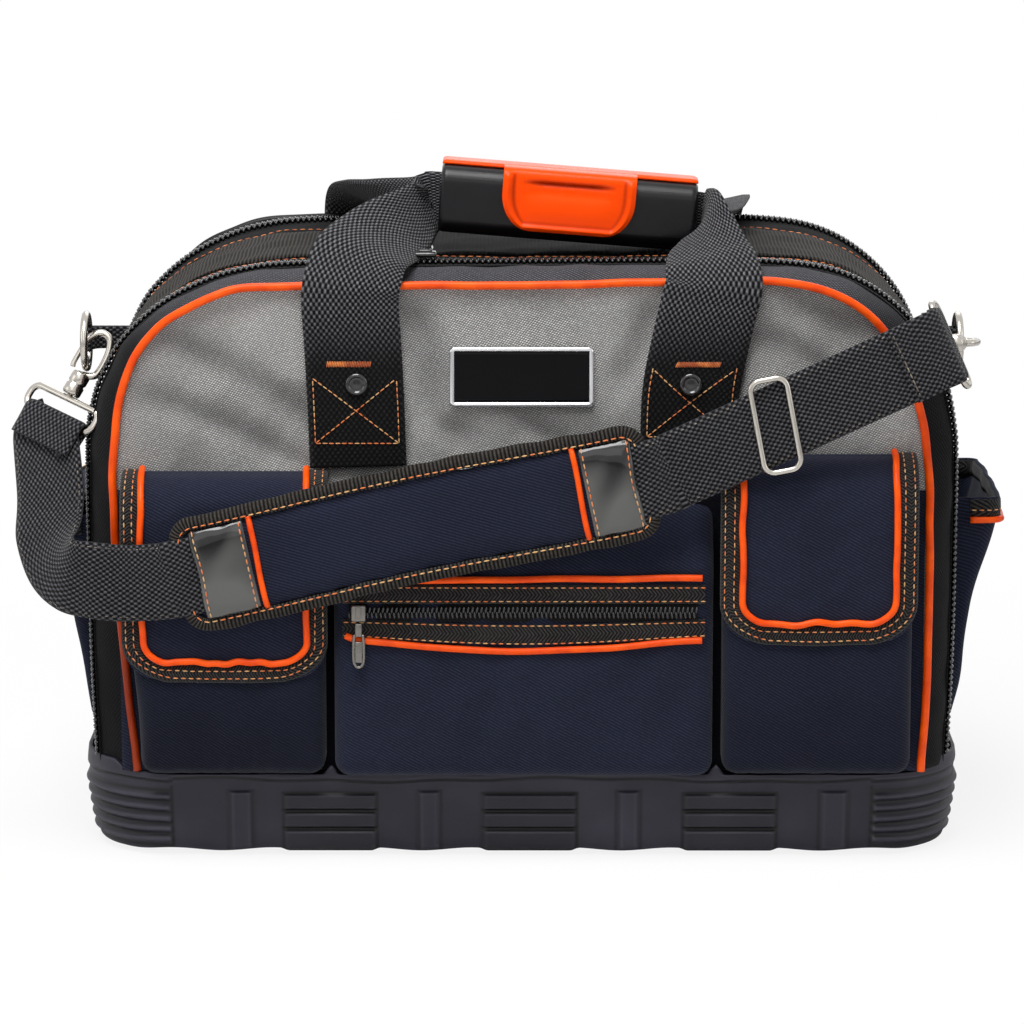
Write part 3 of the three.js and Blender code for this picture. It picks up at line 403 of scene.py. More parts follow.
# Base board: a stiff fibre board wrapped in black lining cloth, laid on the tub's floor. It is
# hidden in the photograph, so its cloth is the shell's own.
def woven(name, ground, thread, pitch, weave, rough=0.9, depth=0.35, fuzz=0.25, mottle=30.0, lean=45.0,
          dusty=0.1):
    """Cloth with raised threads pitch millimetres apart on the piece's own UV map, in metres.
    Weave is twill, basket or chevron. Real threads are about 0.5 mm, which is one pixel of the
    picture here, so every pitch is drawn two to three times as coarse as the real one."""
    finish, tree = new_finish(name)
    sheet_map = add_node(tree, "ShaderNodeUVMap")
    axes = add_node(tree, "ShaderNodeSeparateXYZ", {0: (sheet_map, "UV")})
    u, v = (axes, "X"), (axes, "Y")
    per_metre, low = 2 * math.pi / (pitch * MM), -0.6
    if weave == "twill":
        turned = worked(tree, "MULTIPLY", u, per_metre * math.sin(math.radians(lean)))
        ridge = worked(tree, "SINE", worked(tree, "MULTIPLY_ADD", v,
                                            per_metre * math.cos(math.radians(lean)), turned))
    elif weave == "chevron":
        zigzag = worked(tree, "PINGPONG", v, pitch * 2.2 * MM)
        leaned = worked(tree, "MULTIPLY_ADD", zigzag, 1.2, u)
        ridge = worked(tree, "SINE", worked(tree, "MULTIPLY", leaned, per_metre))
    else:
        low = -0.25
        warp = worked(tree, "SINE", worked(tree, "MULTIPLY", u, per_metre * 0.5))
        weft = worked(tree, "SINE", worked(tree, "MULTIPLY", v, per_metre * 0.7))
        ridge = worked(tree, "MULTIPLY", warp, weft)
    uneven = ranged(tree, noise(tree, 900.0, 1.0), 0.3, 0.7, 0.45, 1.0)
    lit = worked(tree, "MULTIPLY", ranged(tree, ridge, low, 0.9), uneven)
    dust = ranged(tree, noise(tree, mottle, 4.0), 0.4, 0.8, 0.0, dusty)
    colour = blended(tree, worked(tree, "ADD", lit, dust), ground, thread)
    return surfaced(finish, {
        "Roughness": rough, "Sheen Weight": fuzz, "Sheen Roughness": 0.5, "Specular IOR Level": 0.06,
        "Base Color": darkened(tree, colour, "#030304"), "Normal": bumpy(tree, lit, depth, 0.6)})


# Black 600-denier polyester in plain weave: matt, slightly brown in the light, linty.
black_cloth = woven("black_plain_polyester", "#0a0a0c", "#262526", 1.3, "basket", 0.92, 0.3, 0.03)


def board_place(a, b):
    """The board's section carried round it: underside, rolled edge and top, inside the tub's wall."""
    x, y, nx, ny = tub_line(a * around).T
    middle, rim, edge_out = -100.0, -13.0, -11.6
    inset_rows, height_rows = [middle, rim, edge_out, rim, middle], [4.6, 4.6, 6.2, 7.9, 8.0]
    t = b * (len(inset_rows) - 1)
    inset, height = (np.interp(t, range(len(inset_rows)), rows) for rows in (inset_rows, height_rows))
    reach, edge = np.clip((inset - middle) / (rim - middle), 0, 1), np.where(inset > rim, inset - rim, 0)
    px, py = (x + rim * nx) * reach + nx * edge, (y + rim * ny) * reach + ny * edge
    return np.stack([px, py, height + 0.4 * crumple(px, py, 60, 11) * (b > 0.6)], 1)


board = sewn_shut(shaped_grid("base_board_wrapped", 160, 16, board_place, (around, 200)), 0.05)
put_on(board, black_cloth, "bag", "stiff_board", "base_board")


# Shell: the front panel's edge, the two zips and the rear panel's edge each follow an arch of
# their own, read off the photograph: slack at the corners, a little higher at the right.
front_arch = [(-201, 45), (-203.5, 70), (-206.5, 100), (-210, 150), (-211.5, 199), (-208.5, 235), (-201, 261),
              (-188, 278), (-174, 288), (-158, 295.5), (-138, 299.5), (-90, 301), (0, 301), (66, 302.5),
              (112, 303.5), (138, 302.5), (166, 294), (185, 278.5), (198, 257), (205, 236), (209.5, 213),
              (211.5, 170), (211, 83), (209, 45)]
zip_arch = [(-222.5, 45), (-224.5, 110), (-225, 209), (-221.5, 237), (-215, 254), (-206, 269), (-189, 285),
            (-169, 296.5), (-145, 304.5), (-110, 308), (0, 309), (90, 309.5), (140, 308), (168, 302),
            (190, 289), (207, 271), (218, 250), (223.5, 226), (225, 200), (224.5, 110), (222.5, 45)]
rear_zip_arch = [(x * 0.995, z + 2.5 * (z > 200)) for x, z in zip_arch]
rear_arch = [(-211, 45), (-214, 110), (-214, 200), (-208, 246), (-199, 270), (-184, 290), (-165, 301.5),
             (-132, 309), (-60, 310.5), (0, 310.5), (100, 310), (150, 306), (178, 297), (192, 284), (202, 266),
             (210, 240), (214, 205), (214, 110), (211, 45)]


def way_along(points):
    """How far along a line each of its points lies."""
    return np.concatenate([[0], np.cumsum(np.linalg.norm(np.diff(points, axis=0), axis=1))])


def read_at(t, marks, table):
    """A table's rows at t, where its own rows stand at the marks."""
    return np.stack([np.interp(t, marks, column) for column in np.asarray(table, float).T], 1)


def unit(v):
    """The same directions, each of length one."""
    v = np.asarray(v, float)
    return v / (np.linalg.norm(v, axis=-1, keepdims=True) + 1e-12)


def smooth_path(points, count=600):
    """A curve through the points, count points at even steps."""
    p = np.array(points, float)
    before = np.vstack([2 * p[0] - p[1], p, 2 * p[-1] - p[-2]])
    out = []
    for i in range(len(p) - 1):
        p0, p1, p2, p3 = before[i:i + 4]
        t = np.linspace(0, 1, 24, endpoint=False)[:, None]
        out.append(0.5 * (2 * p1 + (p2 - p0) * t + (2 * p0 - 5 * p1 + 4 * p2 - p3) * t * t
                          + (3 * p1 - p0 - 3 * p2 + p3) * t ** 3))
    out = np.vstack([*out, p[-1:]])
    run = way_along(out)
    return read_at(np.linspace(0, run[-1], count), run, out)


def along_arch(arch):
    """The arch as a function: t from 0 to 1 gives x, z and the outward normal."""
    line = smooth_path(arch)
    run = unit(np.gradient(line, axis=0))
    marks = np.linspace(0, 1, len(line))
    return lambda t: tuple(read_at(t, marks, np.column_stack([line, -run[:, 1], run[:, 0]])).T)


front_edge, zip_edge = along_arch(front_arch), along_arch(zip_arch)
rear_zip_edge, rear_edge = along_arch(rear_zip_arch), along_arch(rear_arch)
arch_length = 905.0
shell_foot, panel_front, panel_back = 45.0, -111.6, 107.2


def between(first, y0, second, y1, swell, dents, seed):
    """A strip of cloth from one arch to another: b runs from the first, at y0, to the second."""
    def place(a, b):
        x, z, nx, nz = (start + (end - start) * b for start, end in zip(first(a), second(a)))
        y, bulge = y0 + (y1 - y0) * b, np.sin(np.pi * b)
        out = swell * bulge + dents * crumple(a * arch_length, y, 34, seed) * bulge ** 0.5
        return np.stack([x + nx / np.hypot(nx, nz) * out, y, z + nz / np.hypot(nx, nz) * out], 1)
    return place


def sheet(name, cells, place, size, thick, finish, body, slot, *nodes, shade=None, side=-1.0):
    """A sheet of cloth: a grid of cells on a surface, thick millimetres through, behind its
    face unless side is 1. Size is its width and length when flat."""
    obj = shaped_grid(name, *cells, place, size)
    wall = obj.modifiers.new("wall", "SOLIDIFY")
    wall.thickness, wall.offset = thick * MM, side
    bpy.context.view_layer.objects.active = obj
    bpy.ops.object.modifier_apply(modifier="wall")
    if shade:
        shaded(obj, shade)
    return put_on(obj, finish, body, slot, *nodes)


# Centre hoop: a gusset of black polyester between the zips, with a wide ribbed tape sewn along
# its crown by two rows of orange thread at each edge, and the wall between the compartments.
# Painted shadow of the grip: the gusset and its tape go dark under it.
def grip_painted_shadow(x, y, z):
    return 0.93 * step(z, 270, 300) * (1 - step(np.abs(x - 12), 75, 150))


hoop_face = between(zip_edge, -83.5, rear_zip_edge, 79.5, -0.5, 0.7, 5)
sheet("gusset", (260, 44), hoop_face, (arch_length, 163), 2.6, black_cloth,
      "bag", "shell_fabric", "centre_hoop", shade=grip_painted_shadow)


def lifted(face, a, b, lift, reach=0.002):
    """Points on a surface, raised lift millimetres off it, and the surface's normals there."""
    normal = unit(np.cross(face(a + reach, b) - face(a - reach, b), face(a, b + reach) - face(a, b - reach)))
    return face(a, b) + normal * lift, normal


def tape_place(a, b):
    points, normal = lifted(hoop_face, a, 0.46 + 0.30 * (2 * b - 1), 1.1)
    return points + normal * 0.2 * (1 - (2 * b - 1) ** 2)[:, None]


# Ribbed nylon tape, dusty black-brown, its ribs across its length.
ribbed_tape = woven("ribbed_nylon_tape", "#100f0e", "#4a4642", 2.1, "twill", 0.8, 0.6, 0.03, 30.0, 90.0, 0.08)
sheet("gusset_tape", (260, 12), tape_place, (arch_length, 98), 1.0, ribbed_tape, "bag", "webbing",
      shade=grip_painted_shadow)


def beads(name, size, frames, finish, body, slot, *nodes):
    """One piece made of many small beads: a frame is a bead's place and its three axes."""
    bpy.ops.object.select_all(action="DESELECT")
    bpy.ops.mesh.primitive_uv_sphere_add(segments=6, ring_count=5, radius=0.5)
    model = bpy.context.object
    corners = np.array([v.co for v in model.data.vertices]) * size
    faces = [tuple(f.vertices) for f in model.data.polygons]
    bpy.data.objects.remove(model)
    spots = [(corners @ np.stack(axes) + place) * MM for place, axes in frames]
    polys = [tuple(i + k * len(corners) for i in face) for k in range(len(spots)) for face in faces]
    mesh = bpy.data.meshes.new(name)
    mesh.from_pydata(np.vstack(spots).tolist(), [], polys)
    obj = bpy.data.objects.new(name, mesh)
    scene.collection.objects.link(obj)
    return put_on(obj, finish, body, slot, *nodes)


def seam_thread(name, rows, finish, body, slot="orange_piping", pitch=4.0, length=2.7, thick=0.75):
    """Rows of stitches: each row is (points, normals) along a seam, and each stitch a small
    lozenge of thread, pressed a little into the cloth."""
    frames = []
    for points, normals in rows:
        run = way_along(points)
        for at in np.arange(pitch * 0.5, run[-1] - length * 0.3, pitch):
            back, middle, front = read_at(at + np.array([-0.5, 0, 0.5]), run, points)
            up = read_at([at], run, normals)[0]
            forward = unit(front - back)
            side = unit(np.cross(up, forward))
            frames.append((middle + up * thick * 0.15, (side, np.cross(forward, side), forward)))
    return beads(name, (thick, thick * 0.8, length), frames, finish, body, slot)


def thread(name, main, other):
    """Twisted polyester thread, satin, its colour wavering between two tones along the seam."""
    finish, tree = new_finish(name)
    colour = blended(tree, ranged(tree, noise(tree, 160.0, 1.0), 0.4, 0.6), main, other)
    return surfaced(finish, {"Roughness": 0.55, "Sheen Weight": 0.2, "Base Color": colour})


orange_thread = thread("orange_thread", "#e08038", "#a84c1a")
tan_thread = thread("tan_thread", "#d3a56c", "#d96f2e")
t = np.linspace(0.004, 0.996, 700)
gusset_rows = [lifted(hoop_face, t, np.full_like(t, b), 0.5) for b in (0.115, 0.20, 0.73, 0.805)]
seam_thread("gusset_stitches", gusset_rows, orange_thread, "bag", pitch=4.4, length=3.1, thick=0.85)


def divider_wave(x, z, a):
    return 1.6 * crumple(x, z, 130, 21) * np.sin(np.pi * a)


def divider_place(a, b):
    x, z = (a - 0.5) * 436.0, 44.6 + b * 161.0
    return np.stack([x, divider_wave(x, z, a) * (0.4 + 0.6 * b) + 1.2, z], 1)


def divider_edge(a, b):
    x, top = (a - 0.5) * 437.0, 205.6
    y = 0.1 + 2.3 * np.cos(b * math.pi) + divider_wave((a - 0.5) * 436.0, top, a)
    return np.stack([x, y, 196.0 + 12.0 * np.sin(b * math.pi) ** 0.5], 1)


sheet("compartment_wall", (80, 40), divider_place, (436, 161), 2.4, black_cloth,
      "bag", "shell_fabric", "centre_divider")
sheet("compartment_wall_binding", (90, 14), divider_edge, (437, 26), 0.6, ribbed_tape, "bag", "webbing",
      side=1.0)


# Zips: two chains of thick nylon coil, one round each edge of the gusset, on black twill tape.
# Each tooth is a short rounded link, and left and right links alternate down the middle.
def coil_nylon(name, base):
    """Extruded nylon: hard, glossy black, each link catching the light."""
    finish, tree = new_finish(name)
    rough = ranged(tree, noise(tree, 60.0, 3.0), 0.3, 0.7, 0.16, 0.34)
    return surfaced(finish, {"Base Color": linear(base), "IOR": 1.53, "Coat Weight": 0.2, "Roughness": rough})


black_coil = coil_nylon("black_nylon_coil", "#0c0c0d")
zip_twill = woven("black_zip_twill", "#070708", "#1c1c1f", 1.1, "twill", 0.85, 0.25, 0.1, 30.0, 30.0)


def coil_chain(name, face, a1, b_mid, half, pitch, length, node, rise=0.95, a0=0.0):
    """Links every pitch millimetres along a surface, from a0 to a1, each half a chain wide."""
    count = int(length / pitch)
    frames = []
    for side in (-1, 1):
        here = np.linspace(a0, a1, count) + (0.5 if side > 0 else 0.0) * (a1 - a0) / count
        spot, up = lifted(face, here, np.full_like(here, b_mid), rise * 0.75)
        run = unit(lifted(face, here + 0.001, np.full_like(here, b_mid), 0.7)[0] - spot)
        tip = np.cross(up, run) * side
        lean = unit(run * 0.18 + tip)
        frames += [(s + t * half * 0.44, (np.cross(u, w), u, w)) for s, t, u, w in zip(spot, tip, up, lean)]
    return beads(name, (pitch * 0.74, rise * 2, half * 1.25), frames, black_coil, "bag", "zip_coil", node)


for word, edge, y0, y1, middle, half, rise in (("front", zip_edge, -95.0, -82.5, 0.56, 4.7, 1.7),
                                               ("rear", rear_zip_edge, 78.5, 91.0, 0.42, 4.9, 1.8)):
    tape_face = between(edge, y0, edge, y1, 0.3, 0.0, 1)
    sheet(f"{word}_zip_tape", (240, 8), tape_face, (arch_length, 13), 0.9, zip_twill, "bag", "zip_coil")
    coil_chain(f"{word}_zip_links", tape_face, 0.994, middle, half, 3.1, arch_length, f"{word}_zip_chain",
               rise, 0.004)


# Front and rear bands: strips of polyester, folded over from the zips to the panels and
# gathered a little at the corners. The front one is drawn in a paler cloth than the rear, as painted
# light on its top, with painted shade low down. The rear one is part of the rear cover and opens with it.
top_lit_band_cloth = woven("top_lit_band_polyester", "#29292c", "#737378", 1.3, "basket", 0.85, 0.3, 0.04)
sheet("front_edge_band", (240, 12), between(front_edge, -111.5, zip_edge, -92.5, 1.7, 0.6, 8),
      (arch_length, 24), 2.0,
      top_lit_band_cloth, "bag", "shell_fabric", "front_band", shade=lambda x, y, z: 0.9 * (1 - step(z, 262, 305)))
sheet("rear_edge_band", (240, 12), between(rear_zip_edge, 88.5, rear_edge, 107.6, 1.7, 0.6, 9),
      (arch_length, 24), 2.0,
      black_cloth, "rear_cover", "shell_fabric", "rear_band")


# Front and rear panels: padded cloth held flat by its piping. The front one is grey polyester,
# the rear one, unseen in the photograph, is taken as the black cloth.
def fill_arch(edge, inset, foot):
    """Maps a square onto the area inside an arch: a across it, b up it. Gives x and z."""
    corner = 0.315

    def at(a, b):
        def rim(t):
            x, z, nx, nz = edge(t)
            return np.stack([x - nx * inset, np.maximum(z - nz * inset, foot)], 1)
        left, right = rim(b * corner), rim(1 - b * corner)
        top = rim(corner + a * (1 - 2 * corner))
        high_left, high_right = rim(np.full(1, corner)), rim(np.full(1, 1 - corner))
        a, b = a[:, None], b[:, None]
        flat = (1 - a) * left + a * right + b * top
        flat = flat - (1 - a) * b * high_left - a * b * high_right
        return flat[:, 0], flat[:, 1]
    return at


front_area, rear_area = fill_arch(front_edge, 0.8, shell_foot), fill_arch(rear_edge, 0.8, shell_foot)
# Each fold: the ends of its line, x and z, its depth and its width.
panel_folds = [(-180, 275, -108, 232, 3.3, 8), (-192, 244, -110, 207, 3.0, 7), (-60, 293, -37, 250, 2.8, 9),
               (-58, 262, -28, 218, 2.3, 8), (66, 294, 53, 252, 2.6, 8), (124, 303, 176, 278, 2.4, 8),
               (116, 277, 162, 255, 2.6, 7), (-10, 239, 18, 217, 1.8, 6), (20, 292, -30, 300, 1.2, 9)]


def hollow(x, z):
    """How deep the front panel's slanting folds are, in millimetres."""
    deep = 0 * x
    for x0, z0, x1, z1, depth, width in panel_folds:
        run, rise = x1 - x0, z1 - z0
        along = ((x - x0) * run + (z - z0) * rise) / (run ** 2 + rise ** 2)
        over = ((z - z0) * run - (x - x0) * rise) / math.hypot(run, rise) + 2.2 * np.sin(along * 4 + x0)
        ends = step(along, -0.3, 0.2) * (1 - step(along, 0.8, 1.3))
        deep = deep + depth * np.exp(-(over / width) ** 2) * ends
    return deep


def front_y(x, z):
    """The front panel's surface: slanting folds where it is slack, few under the name plate."""
    slack = step(z, 176, 205) * (1 - step(z, 284, 300)) * (1 - step(np.abs(x), 186, 206))
    flat = 0.75 * step(52 - np.abs(x), 0, 16) * step(z, 222, 236)
    along, over = x * 0.82 + z * 0.57, z * 0.82 - x * 0.57
    dents = 1.5 * crumple(along * 0.42, over, 46, 33) + 0.8 * crumple(x, z, 38, 31)
    dents = dents + 0.3 * crumple(x, z, 18, 32)
    return panel_front - slack * (1 - flat) * np.clip(dents - 0.9 - hollow(x, z), -5.0, 0.5)


def front_place(a, b):
    x, z = front_area(a, b)
    return np.stack([x, front_y(x, z), z], 1)


def laid_flat(obj, across, up):
    """A UV map as if the piece were cut from a flat sheet: its place along two directions."""
    table = corner_places(obj) @ np.array([across, up], float).T
    corners = np.zeros(len(obj.data.loops), int)
    obj.data.loops.foreach_get("vertex_index", corners)
    flat_map = obj.data.uv_layers.get("UVMap") or obj.data.uv_layers.new(name="UVMap")
    flat_map.data.foreach_set("uv", table[corners].astype(np.float32).ravel())


def front_shade(x, y, z):
    """Painted shade: darker in the folds, on the left, where the panel turns away from the light, and a little
    at its right edge.
    """
    in_folds = 0.115 * np.clip(hollow(x, z), 0, 4) * step(z, 200, 215)
    return np.clip(in_folds + 0.13 * step(-x, 95, 200) + 0.06 * step(x, 150, 205), 0, 0.5)


# Grey 600-denier polyester, its weave seen as fine rows of light dots.
grey_cloth = woven("grey_polyester", "#676766", "#f2f1ee", 1.0, "basket", 0.85, 0.4, 0.25, 9.0, 52.0, 0.12)
front_panel = sheet("front_panel_cloth", (190, 130), front_place, (430, 257), 3.4, grey_cloth,
                    "bag", "grey_fabric", "front_panel", shade=front_shade)
laid_flat(front_panel, (0.96, 0, 0.28), (-0.28, 0, 0.96))


def rear_place(a, b):
    x, z = rear_area(1 - a, b)
    dents = 1.2 * crumple(x, z, 80, 41) * np.sin(np.pi * a) * np.sin(np.pi * b) + 0.3 * crumple(x, z, 24, 42)
    return np.stack([x, panel_back + dents, z], 1)


sheet("rear_panel_cloth", (150, 110), rear_place, (430, 262), 3.4, black_cloth, "rear_cover",
      "shell_fabric", "rear_panel")


# Piping: a cord sleeved in soft vinyl and caught in the panel's seam, orange in front, black
# behind. It is satin, a little kinked, and has painted shade low on the left, where little light gets.
def tube(name, points, radius, finish, body, slot, *nodes, closed=False, sides=3):
    """A round rod along points, in millimetres, with closed ends."""
    curve = bpy.data.curves.new(name, "CURVE")
    curve.dimensions = "3D"
    curve.bevel_depth = radius * MM
    curve.bevel_resolution = sides
    curve.use_fill_caps = True
    spline = curve.splines.new("POLY")
    spline.points.add(len(points) - 1)
    table = np.column_stack([np.array(points) * MM, np.ones(len(points))])
    spline.points.foreach_set("co", table.astype(np.float32).ravel())
    spline.use_cyclic_u = closed
    obj = bpy.data.objects.new(name, curve)
    scene.collection.objects.link(obj)
    chosen(obj)
    bpy.ops.object.convert(target="MESH")
    return put_on(sewn_shut(obj), finish, body, slot, *nodes)


def vinyl(name, base, deep, rough):
    """Soft vinyl: saturated, satin, deeper where it creases."""
    finish, tree = new_finish(name)
    crease = noise(tree, 90.0, 3.0)
    colour = blended(tree, ranged(tree, crease, 0.35, 0.7), base, deep)
    return surfaced(finish, {
        "Roughness": rough, "Coat Weight": 0.05, "Coat Roughness": 0.3, "Specular IOR Level": 0.2,
        "Base Color": darkened(tree, colour, "#4a1002"), "Normal": bumpy(tree, crease, 0.25, 0.6)})


orange_vinyl = vinyl("orange_piping_vinyl", "#ff5a00", "#e64400", 0.42)
black_vinyl = vinyl("black_piping_vinyl", "#101012", "#08080a", 0.45)
t = np.linspace(0.0, 1.0, 420)
kink = 0.25 * crumple(t * arch_length, 0 * t, 40, 51)


def piping_line(edge, y):
    """A cord round an arch, a little kinked."""
    x, z, nx, nz = edge(t)
    return np.stack([x + nx * kink, y + kink, z + nz * kink], 1)


front_cord = tube("front_piping_cord", piping_line(front_edge, -113.4), 2.15, orange_vinyl,
                  "bag", "orange_piping", "front_piping")
# Painted shade on the cord, low on the left.
shaded(front_cord, lambda x, y, z: 0.75 * (1 - step(z, 95, 190)) * step(-x, 0, 100))
tube("rear_piping_cord", piping_line(rear_edge, 109.2), 2.15, black_vinyl, "rear_cover", "black_piping",
     "rear_piping")


# Front pockets: two deep pockets of navy polyester, one at each side, with square rolled
# corners and boxed sides. They are full, so their fronts swell a little between the seams.
def boxed(x0, x1, z0, z1, back, front, r, bulge, dents, seed, open_top=False, belly=0.0, full=54.0):
    """A boxed pocket's skin: walls off the panel at back, rolled corners of radius r, and a
    front at front(x, z) whose lower part, full millimetres high, swells by belly. Seen from
    outside, a runs to the right and b up."""
    wall = abs(back - front(np.array([(x0 + x1) / 2]), np.array([(z0 * 2 + z1) / 3]))[0]) - r

    def axis(t, low, high, last_open):
        """Where t lies between low and high, how far it has turned, and its share of the wall."""
        ends = 1 if last_open else 2
        flat, turn = high - low - ends * r, math.pi / 2 * r
        total = (wall + turn) * ends + flat
        s = t * total
        core = low + r + np.clip(s - wall - turn, 0, flat)
        bend = -np.cos(np.clip((s - wall) / turn, 0, 1) * math.pi / 2)
        skirt = 1 - np.clip(s / wall, 0, 1)
        if not last_open:
            last = np.cos(np.clip((total - wall - s) / turn, 0, 1) * math.pi / 2)
            bend = np.where(s > total / 2, last, bend)
            skirt = np.maximum(skirt, 1 - np.clip((total - s) / wall, 0, 1))
        return core, bend, skirt

    def place(a, b):
        cx, sx, kx = axis(a, x0, x1, False)
        cz, sz, kz = axis(b, z0, z1, open_top)
        ux, uz = sx * np.sqrt(1 - sz * sz / 2), sz * np.sqrt(1 - sx * sx / 2)
        x, z = cx + r * ux, cz + r * uz
        lift = r * (1 - np.sqrt(np.clip(1 - ux * ux - uz * uz, 0, 1)))
        u, v = np.clip((x - x0) / (x1 - x0), 0, 1), np.clip((z - z0) / (z1 - z0), 0, 1)
        swell = (bulge * np.sin(np.pi * u) ** 0.7 * np.sin(np.pi * v * 0.9) ** 0.7
                 + dents * crumple(x, z, 36, seed) * (1 - np.abs(sx)) * (1 - np.abs(sz)))
        if belly:
            low = np.clip((z - z0) / full, 0, 1)
            gathers = 0.45 * np.sin(x * 0.55 + 2 * np.sin(x * 0.07 + seed)) * np.exp(-(z - z0) / 9)
            hang = belly * np.sin(np.pi * low) ** 0.8 * np.sin(np.pi * u) ** 0.6
            swell = swell + hang * (1 + 0.3 * crumple(x, z, 30, seed + 5)) + gathers * (1 - np.abs(sx))
        y = front(x, z) + lift - swell
        y = y + (back - y) * np.maximum(kx, kz)
        return np.stack([x, np.minimum(y, back), z], 1)
    return place


navy_twill = woven("navy_twill_polyester", "#171a26", "#2b2f43", 1.5, "twill", 0.9, 0.35, 0.08, 14.0, 28.0,
                   0.18)


def backing_place(a, b):
    x, z = 209.2 * (2 * a - 1), shell_foot + 149.0 * b
    return np.stack([x, -112.5 - 0.2 * crumple(x, z, 40, 60), z], 1)


# Navy backing where the panel shows round the pockets, with painted shade where it shows between them.
sheet("pocket_backing", (120, 30), backing_place, (415, 149), 0.8, navy_twill, "bag", "navy_fabric",
      shade=lambda x, y, z: 0.85 * (np.abs(x) < 150))


pocket_back, pocket_roll, left_x0, left_x1 = -112.0, 8.5, -204.6, -101.9


def pocket_front(x, z):
    return np.full_like(x, -131.8)


left_box = boxed(left_x0, left_x1, 46.5, 195.5, pocket_back, pocket_front, pocket_roll, 1.0, 0.45, 61,
                 belly=2.6)
right_box = boxed(103.9, 202.1, 46.5, 204.5, pocket_back, pocket_front, pocket_roll, 1.0, 0.45, 62,
                  belly=2.6, full=68.0)


def left_front(a, b):
    """The left pocket, which narrows towards its foot on the left."""
    p = left_box(a, b)
    p[:, 0] += 6.5 * step(150 - p[:, 2], 0, 95) * np.clip((left_x1 - p[:, 0]) / (left_x1 - left_x0), 0, 1)
    return p


# Painted shade: each pocket darker towards its foot, and the left one darker overall.
for word, face, size, least, more in (("left", left_front, (150, 185), 0.2, 0.3),
                                      ("right", right_box, (145, 195), 0.12, 0.25)):
    sheet(f"{word}_pocket_cloth", (110, 120), face, size, 1.8, navy_twill, "bag", "navy_fabric",
          f"{word}_pocket",
          shade=lambda x, y, z: least + more * (1 - step(z, 60, 130)))


# Pocket flaps: navy cloth over each side pocket, sewn to the panel along its top and edged with
# black herringbone tape. Orange piping runs down both sides and along the bottom in one U,
# puckered where the tape was eased round the corners, and tan stitches down each edge of the tape.
def run_along(name, count, spine, section, length, finish, body, slot, *nodes):
    """A ribbon or bar of one closed section, in millimetres across and up, along a spine, its
    two ends capped. The section may be a function of the way along."""
    sample = section(np.zeros(1)) if callable(section) else np.array(section, float)[None]
    sides = sample.shape[1]
    around = np.linalg.norm(sample[0] - np.roll(sample[0], 1, 0), axis=1).sum()
    edge = 0.5 / count

    def place(a, b):
        t = np.clip((a - edge * 2) / (1 - edge * 4), 0, 1)
        table = section(t) if callable(section) else np.repeat(sample, len(t), 0)
        table = np.concatenate([table, table[:, :1]], 1)
        k = np.minimum((b * sides + 1e-6).astype(int), sides)
        points = table[np.arange(len(t)), k]
        points = np.where(((a < edge) | (a > 1 - edge))[:, None], table[:, :-1].mean(1), points)
        origin, side, up = spine(t)
        return origin + side * points[:, :1] + up * points[:, 1:]
    return put_on(sewn_shut(shaped_grid(name, count, sides, place, (length, around))), finish, body, slot,
                  *nodes)


def on_face(face, a_line, b_line):
    """A spine that follows a line of (a, b) on a surface: origin, side to its left, and up."""
    line, even, near = np.column_stack([a_line, b_line]), np.linspace(0, 1, len(a_line)), 0.002

    def spine(t):
        here, up = lifted(face, *read_at(t, even, line).T, 0.0)
        run = unit(face(*read_at(t + near, even, line).T) - face(*read_at(t - near, even, line).T))
        return here, unit(np.cross(up, run)), up
    return spine


herringbone = woven("black_herringbone_tape", "#0a0a0b", "#423f3e", 1.9, "chevron", 0.85, 0.6, 0.15, 30.0,
                    45.0, 0.12)


def u_line(width, height, inset, radius, count=240):
    """A U in from a flap's edges, from its top left down and round to its top right, as the
    share of the width and height."""
    left, right, turn = inset, width - inset, np.linspace(0, math.pi / 2, 14)
    fall, slide = radius - radius * np.cos(turn), radius - radius * np.sin(turn)
    points = np.array([(left, height), *zip(left + fall, inset + slide),
                       *zip(right - slide, inset + fall), (right, height)])
    run = way_along(points)
    return tuple((read_at(np.linspace(0, run[-1], count), run, points) / (width, height)).T)


def drawn_in(b, height, corner):
    """How much a sheet narrows at a height over its foot, to round its lower corners."""
    above = corner - np.clip(b * height, 0, corner)
    return corner - np.sqrt(np.clip(corner ** 2 - above ** 2, 0, None))


def mirrored(section):
    return [(-s, u) for s, u in reversed(section)]


